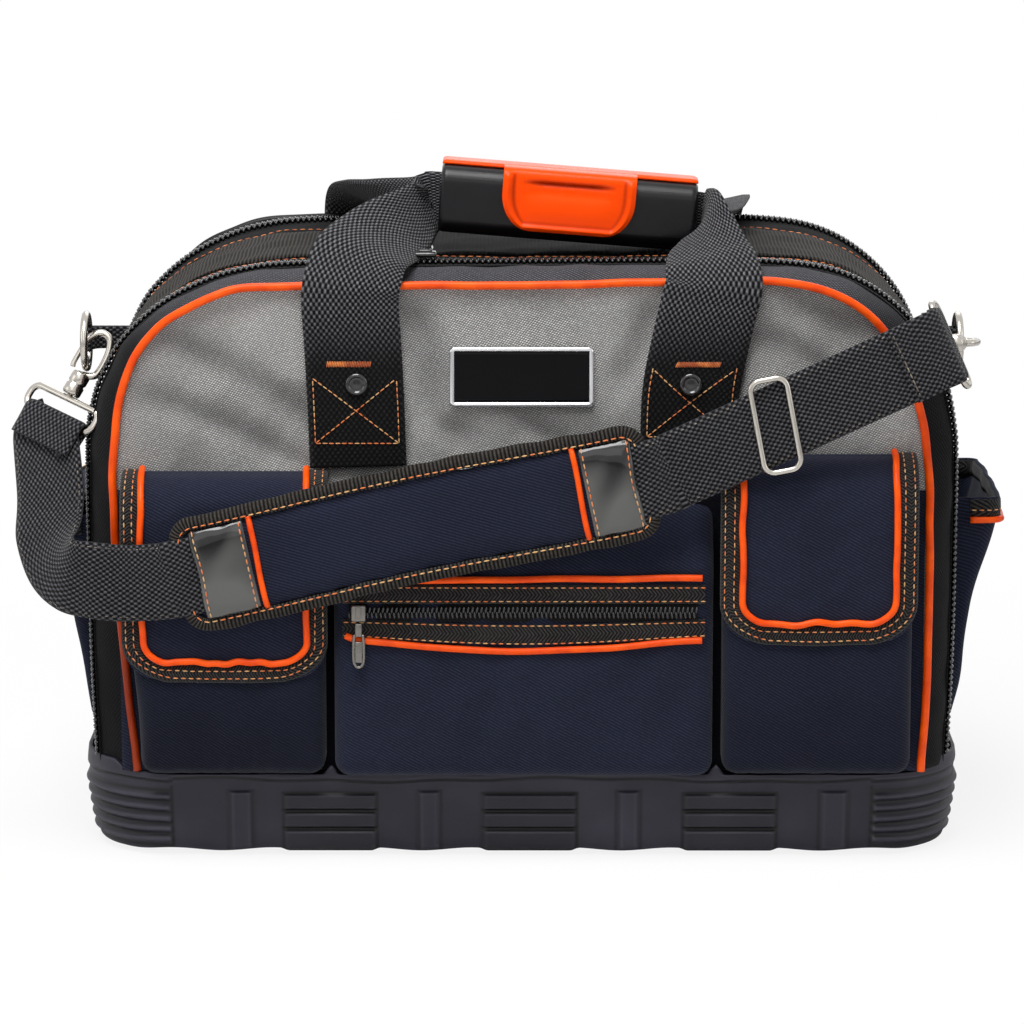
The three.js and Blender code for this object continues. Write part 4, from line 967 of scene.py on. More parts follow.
def flap(word, x0, x1, foot, hinge, seed, band, cord):
    """One flap, from its foot to its hinge, with tape band wide and piping cord inside its edge."""
    width, body = x1 - x0, f"{word}_flap"
    fall = smooth_path([(-134.9, foot), (-136.0, foot + 22), (-136.6, hinge - 40), (-135.6, hinge - 19),
                        (-131.0, hinge - 9.5), (-122.5, hinge - 3.2), (-112.6, hinge - 0.6)], 200)
    height = way_along(fall)[-1]

    def face(a, b):
        inside = (a >= -0.01) & (a <= 1.01)
        y, z = read_at(b, np.linspace(0, 1, len(fall)), fall).T
        narrow = drawn_in(b, height, 20.0)
        x = x0 + narrow + (width - 2 * narrow) * a
        soft = 0.55 * crumple(x, z, 46, seed) + 0.2 * crumple(x, z, 17, seed + 1)
        hang = 1 - np.clip((z - foot) / 60, 0, 1)
        rolled = 1.4 * (np.abs(2 * a - 1) ** 8) * (1 - b ** 6)
        y = y + soft * (1 - b ** 8) * inside + rolled + 0.3 * hang
        return np.stack([x, y, z - 1.2 * np.sin(np.pi * a) * hang], 1)
    sheet(f"{body}_cloth", (90, 110), face, (width, height), 2.2, navy_twill,
          body, "navy_fabric", f"{word}_pocket_flap")
    half = band * 0.5
    section = [(-half, 0.2), (-half, 0.9), (0, 1.15), (half - 0.6, 0.9), (half + 0.3, 0.0), (half + 0.3, -2.0),
               (half - 1, -2.7), (-band * 0.3, -2.7), (-band * 0.3, -2.3), (0, -1.4)]
    run_along(f"{body}_binding", 200, on_face(face, *u_line(width, height, half, 15.5)), mirrored(section),
              2 * height + width, herringbone, body, "webbing")
    a_line, b_line = u_line(width, height, cord, 11.0)
    t = np.linspace(0, 1, len(a_line))
    low = np.sin(np.pi * np.clip((t - 0.36) / 0.28, 0, 1))
    b_line = b_line + 0.9 * crumple(t * 300, 0 * t, 15, seed + 3) * low / height
    a_line = a_line + 0.35 * crumple(t * 300, 0 * t, 40, seed + 4) / width
    tube(f"{body}_piping", lifted(face, a_line, b_line, 1.5)[0], 1.75, orange_vinyl, body, "orange_piping")
    rows = [lifted(face, *u_line(width, height, inset, radius), 1.3)
            for inset, radius in ((cord - 4.3, 13.5), (2.3, 17.7))]
    seam_thread(f"{body}_stitches", rows, tan_thread, body)


flap("left", -206.2, -100.3, 98.2, 204.8, 71, 9.6, 10.6)
flap("right", 102.3, 203.7, 118.2, 213.8, 75, 10.0, 11.4)


# Middle pocket: a wide zipped pocket between the other two, its top leaning back to the panel
# and gathered above the zip. Each side of the zip has herringbone tape with two rows of
# stitches and a line of orange piping, straight above, and sagging below.
def middle_y(x, z):
    lean = np.clip((z - 157.0) / 32.5, 0, 1)
    pleated = np.clip((z - 153) / 8, 0, 1) * (1 - np.clip((z - 168) / 16, 0, 1))
    pleats = 0.72 * np.sin(x * 0.42 + 2.0 * np.sin(x * 0.05)) * pleated
    return -132.4 + 19.5 * lean ** 1.15 + pleats + 0.7 * np.exp(-((z - 133) / 10) ** 2)


middle_x, middle_z, middle_wide, middle_high = -97.1, 45.5, 196.2, 144.1
middle_front = boxed(middle_x, middle_x + middle_wide, middle_z, middle_z + middle_high, pocket_back, middle_y,
                     pocket_roll, 0.7, 0.4, 81, belly=2.8, full=70.0)
sheet("middle_pocket_cloth", (170, 130), middle_front, (240, 185), 1.8, navy_twill,
      "bag", "navy_fabric", "middle_pocket")


def middle_face(a, b):
    """The pocket's front without its rolled edges: a over x -97..99, b over z 46..190."""
    x, z = middle_x + a * middle_wide, middle_z + b * middle_high
    return np.stack([x, middle_y(x, z) - 0.7 * np.sin(np.pi * np.clip(a, 0, 1)) ** 0.7 - 0.1, z], 1)


def middle_at(x, z):
    """Where x and z are on the middle pocket's front, as a and b."""
    return (x - middle_x) / middle_wide, (z + 0 * x - middle_z) / middle_high


def sag(x):
    """How far the zip's lower edge hangs: 1 at its middle, 0 at its ends."""
    return np.cos((x - 1) / 95 * math.pi / 2) ** 1.4


tape_section = [(-5.0, -0.4), (-5.0, 0.7), (-4.2, 1.0), (0, 1.15), (4.2, 1.0), (5.0, 0.7), (5.0, -0.4),
                (0, -0.4)]
x = np.linspace(-92.5, 94.5, 160)
for word, z in (("upper", 143.4), ("lower", 125.2 - 3.12 * sag(x))):
    run_along(f"middle_{word}_tape", 160, on_face(middle_face, *middle_at(x, z)), tape_section, 188,
              herringbone, "bag", "webbing")
cord_x = np.linspace(-91, 93, 160)
kink = 0.25 * crumple(cord_x, 0 * cord_x, 30, 83)
curl = 2.7 * np.clip((-80 - cord_x) / 12, 0, 1) ** 2
for word, z in (("upper", 151.4 + 1.6 * cord_x / 190), ("lower", 119.4 - 5.8 * sag(cord_x) + curl)):
    tube(f"middle_{word}_piping", lifted(middle_face, *middle_at(cord_x, z + kink), 1.6)[0], 1.75, orange_vinyl,
         "bag", "orange_piping")
rows = [lifted(middle_face, *middle_at(x, z), 1.15)
        for z in (147.0, 139.8, 128.6 - 1.82 * sag(x), 121.6 - 4.16 * sag(x))]
seam_thread("middle_pocket_stitches", rows, tan_thread, "bag")
zip_x = np.linspace(-89, 91, 160)
twill_section = [(-5.2, -0.6), (-5.2, 0.35), (0, 0.45), (5.2, 0.35), (5.2, -0.6)]
run_along("middle_zip_tape", 60, on_face(middle_face, *middle_at(zip_x, 134.0)), twill_section, 180,
          zip_twill, "bag", "zip_coil")


def middle_zip_face(a, b):
    here = middle_face(*middle_at(-88.7 + a * 179.4, 130.4 + b * 7.2))
    here[:, 1] = -134.0
    return here


coil_chain("middle_zip_links", middle_zip_face, 0.99, 0.5, 3.1, 2.3, 179.4, "middle_zip_chain")


# Side pockets: navy cloth pockets that taper towards the foot, bound in black at the mouth. The
# right one is open, with orange piping under its binding. The left one has a flap with a snap.
def turned(place, side):
    """A front layout turned to face out of a side: +1 is the right, -1 the left."""
    def at(a, b):
        p = place(a, b)
        return np.stack([-side * p[:, 1], side * p[:, 0], p[:, 2]], 1)
    return at


def side_front(x, z):
    """The front of a side pocket, which leans out towards its mouth."""
    return -(229.1 + 17.0 * np.clip((z - 58.0) / 114.0, 0, 1) ** 0.9)


def flared_front(x, z):
    return side_front(x, z) - 8.0 * step(z, 120, 190)


binding = [(-8.5, 1.5), (-4, 2.0), (0.6, 1.8), (1.4, 0.0), (0.6, -1.8), (-4, -2.0), (-8.5, -1.5), (-8.5, 0)]
for word, side, head, mouth_front in (("right", 1, 181.0, flared_front), ("left", -1, 171.2, side_front)):
    name = f"{word}_side_pocket"
    skin = turned(boxed(-61.5, 61.5, 58.5, head, -222.7, mouth_front, 6.0, 0.9, 0.7, 91, open_top=True), side)
    sheet(f"{name}_cloth", (120, 90), skin, (170, 125), 1.7, navy_twill, "bag", "navy_fabric", name)
    t = np.linspace(0.03, 0.97, 200)
    mouth, outward = lifted(skin, t, np.full_like(t, 0.985), -0.8)
    outward = unit(outward * (1, 1, 0))

    def mouth_spine(t):
        even = np.linspace(0, 1, len(mouth))
        return read_at(t, even, mouth), np.tile([0.0, 0, 1.0], (len(t), 1)), read_at(t, even, outward)
    run_along(f"{name}_binding", 160, mouth_spine, [(s, -u) for s, u in binding], 190, herringbone, "bag",
              "webbing")
    if word == "right":
        tube(f"{name}_piping", mouth + outward * 2.2 - (0, 0, 9.8), 1.7, orange_vinyl, "bag", "orange_piping")
    seam_thread(f"{name}_stitches", [(mouth + outward * 1.75 - (0, 0, 4.6), outward)], tan_thread, "bag")


flap_wide, flap_high = 123.2, 82


def side_flap_sheet(a, b):
    fall = smooth_path([(-249.2, 124.3), (-250.3, 140), (-250.6, 160), (-249.0, 170), (-243.0, 176.5),
                        (-233, 181.5), (-223.2, 185.3)], 120)
    out, z = read_at(b, np.linspace(0, 1, len(fall)), fall).T
    narrow = drawn_in(b, flap_high, 13.0)
    x = narrow - flap_wide / 2 + (flap_wide - 2 * narrow) * a
    return np.stack([x, out + 0.5 * crumple(x, z, 40, 95) * (1 - b ** 6), z], 1)


side_flap_face = turned(side_flap_sheet, -1)
sheet("left_side_flap_cloth", (80, 60), side_flap_face, (123, 82), 2.0, navy_twill,
      "side_flap", "navy_fabric", "left_side_flap")
flap_binding = [(-4.6, 0.2), (-4.6, 0.9), (0, 1.1), (4.0, 0.9), (4.9, 0.0), (4.9, -1.9), (3.6, -2.5),
                (-2.8, -2.5), (-2.8, -2.1), (0, -1.3)]
binding_spine = on_face(side_flap_face, *u_line(flap_wide, flap_high, 4.6, 9.0))
run_along("left_side_flap_binding", 160, binding_spine, mirrored(flap_binding), 287, herringbone,
          "side_flap", "webbing")
row = lifted(side_flap_face, *u_line(flap_wide, flap_high, 6.8, 8.5), 1.3)
seam_thread("left_side_flap_stitches", [row], tan_thread, "side_flap")


def metal(name, base, rough, scratches):
    """Plated or polished metal with faint handling marks."""
    finish, tree = new_finish(name)
    wear = noise(tree, 140.0, 4.0)
    return surfaced(finish, {
        "Base Color": linear(base), "Metallic": 1.0,
        "Roughness": ranged(tree, wear, 0.35, 0.7, rough, rough + 0.14),
        "Normal": bumpy(tree, wear, scratches, 0.2)})


# Bright nickel plate on steel wire: it mirrors the white room in broad, soft bands.
nickel = metal("bright_nickel_plate", "#b9b4ac", 0.16, 0.2)


def turned_shape(name, origin, axis, profile, finish, body, slot, *nodes):
    """A turned solid: profile is (radius, height) pairs in millimetres along an axis."""
    axis = unit(axis)
    across = unit(np.cross(axis, [0.0, 0, 1.0] if abs(axis[2]) < 0.9 else [1.0, 0, 0]))
    other = np.cross(axis, across)
    rows = np.array([(0, profile[0][1]), *profile, (0, profile[-1][1])], float)

    def place(a, b):
        r, h = read_at(b * (len(rows) - 1), range(len(rows)), rows).T[:, :, None]
        turn = (a * 2 * math.pi)[:, None]
        return np.array(origin) + across * r * np.cos(turn) + other * r * np.sin(turn) + axis * h
    return put_on(sewn_shut(shaped_grid(name, 28, len(rows) - 1, place, (20, 10))), finish, body, slot, *nodes)


snap_spot, snap_out = lifted(side_flap_face, np.array([0.5]), np.array([0.22]), 0.4)
snap = [(6.0, 0), (6.0, 0.8), (5.0, 1.7), (3.0, 2.3), (1.0, 2.5)]
turned_shape("left_side_flap_snap", snap_spot[0], snap_out[0], snap, nickel, "side_flap", "nickel_plated")


# Name plate: a thin chromed frame round a bare, glossy black face, which a fine upright line
# divides.
def gloss(name, base, rough, coat, shine=0.25):
    """Glossy black lacquer or patent vinyl under a clear coat."""
    finish, tree = new_finish(name)
    return surfaced(finish, {
        "Roughness": rough, "Coat Weight": coat, "Coat Roughness": 0.05, "Specular IOR Level": shine,
        "Base Color": darkened(tree, base, "#060607")})


black_lacquer = gloss("black_lacquer", "#08080a", 0.25, 0.05, 0.08)
chrome = metal("bright_chrome", "#d8d8da", 0.10, 0.1)


def rounded(half_x, half_z, r):
    """A rectangle's outline with corners of radius r, as rows of x and z, from the upper right."""
    turn, arcs = np.linspace(0, math.pi / 2, 8), []
    for k, (cx, cz) in enumerate(((1, 1), (-1, 1), (-1, -1), (1, -1))):
        angle = turn + math.pi / 2 * k
        arcs.append(np.stack([cx * (half_x - r) + r * np.cos(angle), cz * (half_z - r) + r * np.sin(angle)], 1))
    return np.vstack(arcs)


plate_middle = 253.5
plate_frame = [(x, -112.9, plate_middle + z) for x, z in rounded(35.9, 14.4, 1.6)]
tube("name_plate_frame", plate_frame, 1.45, chrome, "bag", "nickel_plated", "plate_frame", closed=True)


def plate_place(a, b):
    x, z = (a - 0.5) * 70.4, plate_middle + (b - 0.5) * 27.4
    groove = 0.35 * np.exp(-((x - 18.0) / 0.45) ** 2)
    return np.stack([x, -113.3 + groove, z], 1)


sheet("name_plate_face", (160, 12), plate_place, (70, 27), 1.0, black_lacquer, "bag", "plate_black",
      "plate_face")


# Handle webbing: two runs of 50 mm black polypropylene webbing, one sewn to the front panel and
# one to the rear cover, folded together into the grip. Its coarse basket weave shows as rows of
# light dots. Each leg is fixed by a crossed box of stitches under a bar tack, and a rivet.
def strap_section(width, thick):
    """A flat band's closed section: width is a number or a function of the way along."""
    cells = 14
    s = np.concatenate([np.linspace(-0.5, 0.5, cells), np.linspace(0.5, -0.5, cells)])
    u = np.concatenate([np.full(cells, 0.5), np.full(cells, -0.5)])
    u[[0, cells - 1, cells, -1]] *= 0.35

    def at(t):
        w = width(t) if callable(width) else np.full_like(t, width)
        return np.stack([w[:, None] * s, np.full_like(w, thick)[:, None] * u], 2)
    return at


def through(stations, count=400):
    """A spine through stations of (centre, across, width): the spine, its widths and its length."""
    centres = np.array([centre for centre, _, _ in stations], float)
    turns = np.array([[*unit(across), width] for _, across, width in stations])
    dense, even = smooth_path(centres, count), np.linspace(0, 1, count)
    run = way_along(centres)
    rest, window = read_at(even, run / run[-1], turns), count // 24
    rest = np.stack([np.convolve(np.pad(column, window // 2, mode="edge"), np.ones(window) / window,
                                 mode="valid")[:count] for column in rest.T], 1)

    def spine(t):
        ahead, behind = (read_at(np.clip(t + near, 0, 1), even, dense) for near in (0.004, -0.004))
        run = unit(ahead - behind)
        side = read_at(t, even, rest[:, :3])
        side = unit(side - run * (side * run).sum(1)[:, None])
        return read_at(t, even, dense), side, np.cross(side, run)
    return spine, (lambda t: np.interp(t, even, rest[:, 3])), way_along(dense)[-1]


def webbing_weave(name, ground, thread, pitch):
    return woven(name, ground, thread, pitch, "basket", 0.75, 0.9, 0.12, 20.0, 45.0, 0.02)


def band(name, stations, thick, finish, body, *nodes, count):
    """A flat band of webbing through stations. Gives its spine."""
    spine, width, length = through(stations)
    run_along(name, count, spine, strap_section(width, thick), length, finish, body, "webbing", *nodes)
    return spine


handle_weave = webbing_weave("black_handle_webbing", "#040405", "#828287", 1.9)


front_run = [
    ((-84.5, -113.3, 206.6), (1, 0, 0), 50), ((-85.5, -113.6, 240), (1, 0, 0), 50),
    ((-87, -114.2, 272), (1, 0, 0), 50),
    ((-88.0, -117.2, 291), (1, 0, 0), 50), ((-87, -117.5, 303), (1, -0.02, -0.05), 50),
    ((-82, -108, 317), (0.97, -0.1, -0.25), 49), ((-71.5, -90, 323.5), (0.75, -0.3, -0.58), 44),
    ((-58.5, -71, 329), (0.35, -0.22, -0.9), 35), ((-49.5, -57, 335.5), (0.1, -0.08, -1), 28.5),
    ((-43, -53.2, 339.3), (0, 0, -1), 25.5), ((24, -53, 334.5), (0, 0, -1), 25),
    ((91, -53, 329.3), (0, 0, -1), 25.5),
    ((95.5, -57, 331), (-0.1, -0.2, -0.97), 26.5), ((96.5, -68, 331), (-0.3, -0.45, -0.84), 30),
    ((95.5, -82, 324.5), (-0.6, -0.5, -0.6), 33), ((96, -98, 317.5), (-0.9, -0.33, -0.3), 42),
    ((97.5, -110, 312), (-0.98, -0.1, -0.15), 48.5), ((98.5, -117.2, 302), (-1, 0, 0), 50),
    ((96, -117.0, 291), (-1, 0, 0), 50), ((91.5, -114.2, 270), (-1, 0, 0), 50),
    ((87, -113.6, 245), (-1, 0, 0), 50), ((86, -113.3, 215.8), (-1, 0, 0), 50)]
front_web = band("front_handle_band", front_run, 2.3, handle_weave, "bag", "front_handle_webbing", count=420)
# Painted shade: the front legs go dark low down, where the light from above reaches less.
shaded(bpy.data.objects["front_handle_band"], lambda x, y, z: 0.92 * (1 - step(z, 256, 292)))


def leg_rows(web, first, y_out, lines):
    """Straight rows on a leg's face: each line is across and height at its start and its end."""
    t = np.linspace(0, 1, 2000)
    here = web(t[t < 0.3] if first else t[t > 0.7][::-1])[0]
    rows = []
    for s0, z0, s1, z1 in lines:
        z = np.linspace(z0, z1, 8)
        x, y, _ = read_at(z, here[:, 2], here).T
        rows.append((np.stack([x + np.linspace(s0, s1, 8), y + 1.3 * y_out, z], 1),
                     np.tile([0.0, y_out, 0], (8, 1))))
    return rows


rear_run = [
    ((-84.5, 109.4, 206.6), (-1, 0, 0), 50), ((-85, 109.7, 250), (-1, 0, 0), 50),
    ((-86, 110.4, 275), (-1, 0, 0), 50),
    ((-86.5, 113.5, 292), (-1, 0, 0), 50), ((-86.5, 113.4, 304), (-1, 0.02, 0.05), 50),
    ((-86, 104, 316), (-0.97, 0.1, 0.2), 50), ((-84, 80, 322), (-0.9, 0.1, 0.4), 48),
    ((-79, 45, 324), (-0.75, 0.2, 0.6), 44), ((-71, 10, 326), (-0.55, 0.25, 0.75), 38),
    ((-58, -20, 331), (-0.25, 0.12, 0.95), 31), ((-49, -38, 336.5), (0, 0.05, 1), 27),
    ((-43, -46.8, 339.3), (0, 0, 1), 25.5), ((24, -47, 334.5), (0, 0, 1), 25),
    ((91, -47, 329.3), (0, 0, 1), 25.5),
    ((96, -40, 324), (0.15, 0.15, 0.96), 25), ((99, -22, 316), (0.5, 0.3, 0.72), 30),
    ((101, 10, 316), (0.8, 0.25, 0.5), 40), ((102, 50, 319), (0.92, 0.15, 0.35), 48),
    ((102, 85, 320), (0.97, 0.1, 0.2), 50), ((99, 105, 314), (1, 0, 0.05), 50),
    ((97, 113.4, 302), (1, 0, 0), 50), ((94, 113.5, 291), (1, 0, 0), 50),
    ((90, 110.4, 272), (1, 0, 0), 50), ((87, 109.7, 245), (1, 0, 0), 50), ((86, 109.4, 215.8), (1, 0, 0), 50)]
rear_web = band("rear_handle_band", rear_run, 2.3, handle_weave, "rear_cover", "rear_handle_webbing", count=420)
for word, web, body, y_out in (("front", front_web, "bag", -1), ("rear", rear_web, "rear_cover", 1)):
    boxes, tacks, half = [], [], 21.6
    for first, low, high, shift in ((True, 219.0, 253.0, -3.0), (False, 222.5, 258.0, 1.0)):
        boxes += leg_rows(web, first, y_out, [
            (-half, low, -half, high), (half, low, half, high), (-half, low, half, low),
            (-half, low, half, high), (half, low, -half, high)])
        tacks += leg_rows(web, first, y_out, [
            (s, 258.9, s + 0.8, 261.9) for s in shift + np.arange(-11, 11.1, 0.85)])
    seam_thread(f"{word}_handle_box_stitches", boxes, tan_thread, body, pitch=3.3, length=2.75)
    seam_thread(f"{word}_handle_bar_tacks", tacks, orange_thread, body, pitch=2.9, length=3.4, thick=0.8)


# Rivets: a black-lacquered cap on each leg, its rounded rim set round a shallow dish.
black_metal = gloss("black_lacquered_steel", "#0d0d0f", 0.22, 1.0)
cap = [(6.0, -0.6), (6.0, 0.9), (5.7, 1.7), (5.1, 2.2), (4.5, 2.3), (4.0, 2.0), (3.7, 1.5), (3.0, 1.4),
       (1.5, 1.55), (0.5, 1.6)]
for word, side, y, body in (("front", -1, -114.9, "bag"), ("rear", 1, 110.9, "rear_cover")):
    for which, x in (("left", -85.0), ("right", 87.0)):
        turned_shape(f"{word}_{which}_rivet_cap", (x, y, 250.0), (0, side, 0), cap, black_metal, body,
                     "black_metal", f"{word}_{which}_rivet")


# Grip: a moulded channel of black soft-touch plastic, open to the rear, closed round both runs
# of webbing. An orange plastic insert covers its top and hangs over the front as a tongue with
# a raised rim and a shallow pressed hollow near its top.
grip_centre, grip_tilt = np.array([24.0, -50.0, 335.0]), math.radians(4.6)
grip_along = np.array([math.cos(grip_tilt), 0, -math.sin(grip_tilt)])
grip_up = np.array([math.sin(grip_tilt), 0, math.cos(grip_tilt)])


def soft_plastic(name, base, rough, grain, shine):
    """Moulded plastic, satin, with a fine grain and a faint cloudiness from handling."""
    finish, tree = new_finish(name)
    return surfaced(finish, {
        "Specular IOR Level": shine, "Base Color": darkened(tree, base, "#7a1200"),
        "Roughness": ranged(tree, noise(tree, 35.0, 4.0), 0.3, 0.7, rough - 0.05, rough + 0.08),
        "Normal": bumpy(tree, noise(tree, 2600.0, 1.0), grain, 0.2)})


black_plastic = soft_plastic("black_soft_touch_plastic", "#0b0b0e", 0.3, 0.12, 0.28)
orange_plastic = soft_plastic("orange_moulded_plastic", "#ff4a00", 0.26, 0.06, 0.12)


def on_grip(along, y, up):
    """Points on the grip: along it, back from its middle, and up square to it."""
    return grip_centre + np.stack([along, y, up], 1) @ [grip_along, (0, 1, 0), grip_up]


def grip_spine(t):
    half, rows = 67.0, (len(t), 1)
    return on_grip(half * (2 * t - 1), 0 * t, 0 * t), np.tile([0.0, 1, 0], rows), np.tile(grip_up, rows)


def grip_section(t):
    """The channel's section, open to the rear, drawn in a little at its two ends."""
    hy, hz, r = 20.0, 17.75, 9.0
    corners = [(hy - r, r - hz, 330, 270, 6), (r - hy, r - hz, 270, 180, 10), (r - hy, hz - r, 180, 90, 10),
               (hy - r, hz - r, 90, 28, 10)]
    shape = [(cy + r * math.cos(q), cz + r * math.sin(q)) for cy, cz, start, end, count in corners
             for q in np.radians(np.linspace(start, end, count))]
    shape += [(9.0, 12.9), (-3.6, 12.9), (-4.4, 12.0), (-4.4, -14.0), (-3.6, -14.8), (9.0, -14.8)]
    shape = np.vstack([np.linspace(p, q, 3, endpoint=False) for p, q in zip(shape, np.roll(shape, -1, 0))])
    end = np.clip(1 - np.minimum(t, 1 - t) / 0.016, 0, 1)
    return shape * (1 - 0.07 * end ** 2)[:, None, None]


run_along("grip_moulding", 120, grip_spine, grip_section, 134, black_plastic, "bag", "grip_plastic",
          "grip_body")
tongue_half, tongue_long, tongue_foot = 34.8, 43.5, -12.6


def tongue_edge(across, down):
    """The tongue's half width at a height over its foot, and how far a point is from its edge."""
    foot = 1 - np.clip(down, 0, 20) / 20
    half = tongue_half - 15.5 * (1 - np.sqrt(1 - foot ** 2))
    return half, np.minimum(np.minimum(tongue_half - np.abs(across), down), 0.75 * (half - np.abs(across)))


def tongue_face(a, b):
    """The tongue's face: a raised rim, a sunk field, a bulge at its foot and the pressed hollow."""
    path = smooth_path([(-10.5, 20.0), (-15.5, 19.9), (-19.3, 18.9), (-21.6, 16.2), (-22.2, 12.0), (-22.3, 4.0),
                        (-22.3, tongue_foot)], 160)
    y, z = read_at(1 - b, np.linspace(0, 1, len(path)), path).T
    down = b * tongue_long
    across = tongue_edge(0 * a, down)[0] * (2 * a - 1)
    edge = tongue_edge(across, down)[1]
    rim = 1.1 * np.exp(-((edge - 2.0) / 1.2) ** 2)
    lens = 1.2 * np.exp(-((down - 26.0) / 1.4) ** 2) + 0.9 * np.exp(-((down - 22.5) / 3.6) ** 2)
    dish = 0.6 * step(edge, 3.2, 5.5) * (b < 0.8)
    bulge = np.sin(math.pi * np.clip(down / 20, 0, 1)) * step(30 - np.abs(across), 0, 16)
    out = rim - lens * step(27 - np.abs(across), 0, 14) - dish + bulge
    return on_grip(across, y - out * (1 - step(z, 14, 19)), z)


def tongue_shade(x, y, z):
    """Painted shade: deeper colour in the pressed hollow and along the inside of the rim."""
    place = np.stack([x, y, z], 1) - grip_centre
    across, up = place @ grip_along, place @ grip_up
    lens = np.exp(-((up - 12.6) / 1.5) ** 2) * step(28 - np.abs(across), 0, 16)
    inside = np.exp(-((tongue_edge(across, up - tongue_foot)[1] - 4.3) / 0.8) ** 2) * (up < 17)
    return np.maximum(0.8 * lens, 0.6 * inside)


sheet("grip_tongue", (120, 90), tongue_face, (70, 43), 1.7, orange_plastic, "bag", "orange_plastic",
      "grip_inlay",
      shade=tongue_shade)


def strip_top_section(t):
    flat = np.array([(-12, 0.35), (-12.2, 1.2), (-11.4, 2.1), (-6, 2.35), (0, 2.4), (5, 2.35), (9.6, 2.1),
                     (10.2, 1.2), (10, 0.35), (0, 0.35)])
    end = np.clip(1 - np.minimum(t, 1 - t) / 0.012, 0, 1)[:, None] ** 2
    return np.stack([flat[:, 0] * (1 - 0.06 * end), 17.75 + flat[:, 1] * (1 - 0.35 * end)], 2)


run_along("grip_top_strip", 90, grip_spine, strip_top_section, 134, orange_plastic, "bag", "orange_plastic")


# Side rings: nickel-plated steel rings at the shell's sides, each held by a folded tab of black
# webbing that is sewn to the gusset.
strap_weave = webbing_weave("black_strap_webbing", "#040405", "#68686d", 1.8)
ring_centre = {"left": np.array([-228.0, -72.0, 266.0]), "right": np.array([228.0, -72.0, 266.0])}
ring_radius = 14
tab_fold = [(203.5, -57.0), (217, -57.6), (223.5, -59.0), (226.5, -62.6), (229.6, -62.0), (231.5, -58.3),
            (229.2, -55.4), (224, -54.8), (203.5, -54.8)]
for word, side in (("left", -1), ("right", 1)):
    stations = [((side * x, y, 266.0), (0, 0, 1), 11.6) for x, y in tab_fold]
    band(f"{word}_ring_webbing", stations, 1.7, strap_weave, "bag", f"{word}_ring_tab", count=80)
    turn = np.linspace(0, 2 * math.pi, 73)[:-1]
    circle = ring_centre[word] + ring_radius * np.stack([0 * turn, np.cos(turn), np.sin(turn)], 1)
    tube(f"{word}_side_ring_wire", circle, 2.0, nickel, "strap", "nickel_plated", f"{word}_side_ring",
         closed=True, sides=4)


# Snap hooks: bent steel wire with a sprung gate, on a turned swivel barrel. A rectangular wire
# loop under each barrel carries the strap's webbing.
hooks = {"left": (250, (-0.5, -0.3, -0.85), (0.85, -0.6, -0.3)),
         "right": (174, (-0.3, -0.95, 0.1), (-0.42, 0.1, 0.9))}
neck, half, nose = 4.6, 7.0, 20.4
hook_path = [(0, -neck), (half * 0.7, -neck * 0.6), (half, 0.5), (half * 0.98, nose * 0.5),
             (half * 0.72, nose * 0.82),
             (half * 0.3, nose * 0.97), (-half * 0.3, nose * 0.97), (-half * 0.72, nose * 0.82),
             (-half, nose * 0.6), (-half, nose * 0.45)]
gate_path = [(-half + 0.6, -neck * 0.62), (-half, 0), (-half, nose * 0.45 - 0.55)]
barrel = [(r, neck + h) for r, h in ((2.2, -1.4), (4.4, -0.6), (4.9, 0.6), (4.9, 4.6), (4.3, 5.2), (4.3, 6.0),
                                     (4.95, 6.6), (4.95, 10.8), (4.3, 12.0))]
eyes = {}
for word, (degrees, run, across) in hooks.items():
    turn, plated = math.radians(degrees), (nickel, "strap", "nickel_plated")
    clip = ring_centre[word] + ring_radius * np.array([0, math.cos(turn), math.sin(turn)])
    down = unit(run)
    aside = unit(np.cross([0, -math.sin(turn), math.cos(turn)], -down))
    wide = unit(across - down * np.dot(across, down))

    def bent(path, count):
        return smooth_path([clip + aside * x - down * z for x, z in path], count)
    tube(f"{word}_hook_wire", bent(hook_path, 90), 1.9, *plated, f"{word}_hook_body", sides=4)
    tube(f"{word}_hook_latch", bent(gate_path, 24), 1.35, nickel, f"{word}_gate", "nickel_plated",
         f"{word}_hook_gate")
    turned_shape(f"{word}_hook_barrel", clip, down, barrel, *plated)
    middle = clip + down * (neck + 20.3)
    loop_line = [middle + wide * x + down * z for x, z in rounded(23.0, 6.0, 5.0)]
    tube(f"{word}_strap_loop_wire", loop_line, 1.8, *plated, f"{word}_strap_loop", closed=True, sides=4)
    turned_shape(f"{word}_hook_stem", middle - down * 8.6, down, [(1.5, 0), (1.5, 3.0)], *plated)
    eyes[word] = (middle + down * 6.0, down, wide, np.array(across))


# Shoulder strap: 40 mm black polypropylene webbing from the left loop down past the side, along
# the pad, and up to the right loop. Each end turns round its loop. A row of stitches runs near
# each edge of it, and near the right loop it is doubled, with one row across where that starts.
strap_y, slope = -140.35, math.radians(25)
pad_left, pad_right = np.array([-176.0, strap_y - 0.7, 154.0]), np.array([66.0, strap_y - 0.7, 206.0])
pad_run = unit(pad_right - pad_left)
pad_up = np.array([-pad_run[2], 0, pad_run[0]])
strap_run = np.array([math.cos(slope), 0, math.sin(slope)])
strap_up = np.array([-math.sin(slope), 0, math.cos(slope)])
right_start = pad_right + pad_run * 9 + [0, 0.7, 0]


def into_loop(word):
    """A strap's last two stations before its loop, the nearer one first."""
    eye, down, _, across = eyes[word]
    return [(eye + down * 5, across, 40), (eye + down * 11, across, 40)]


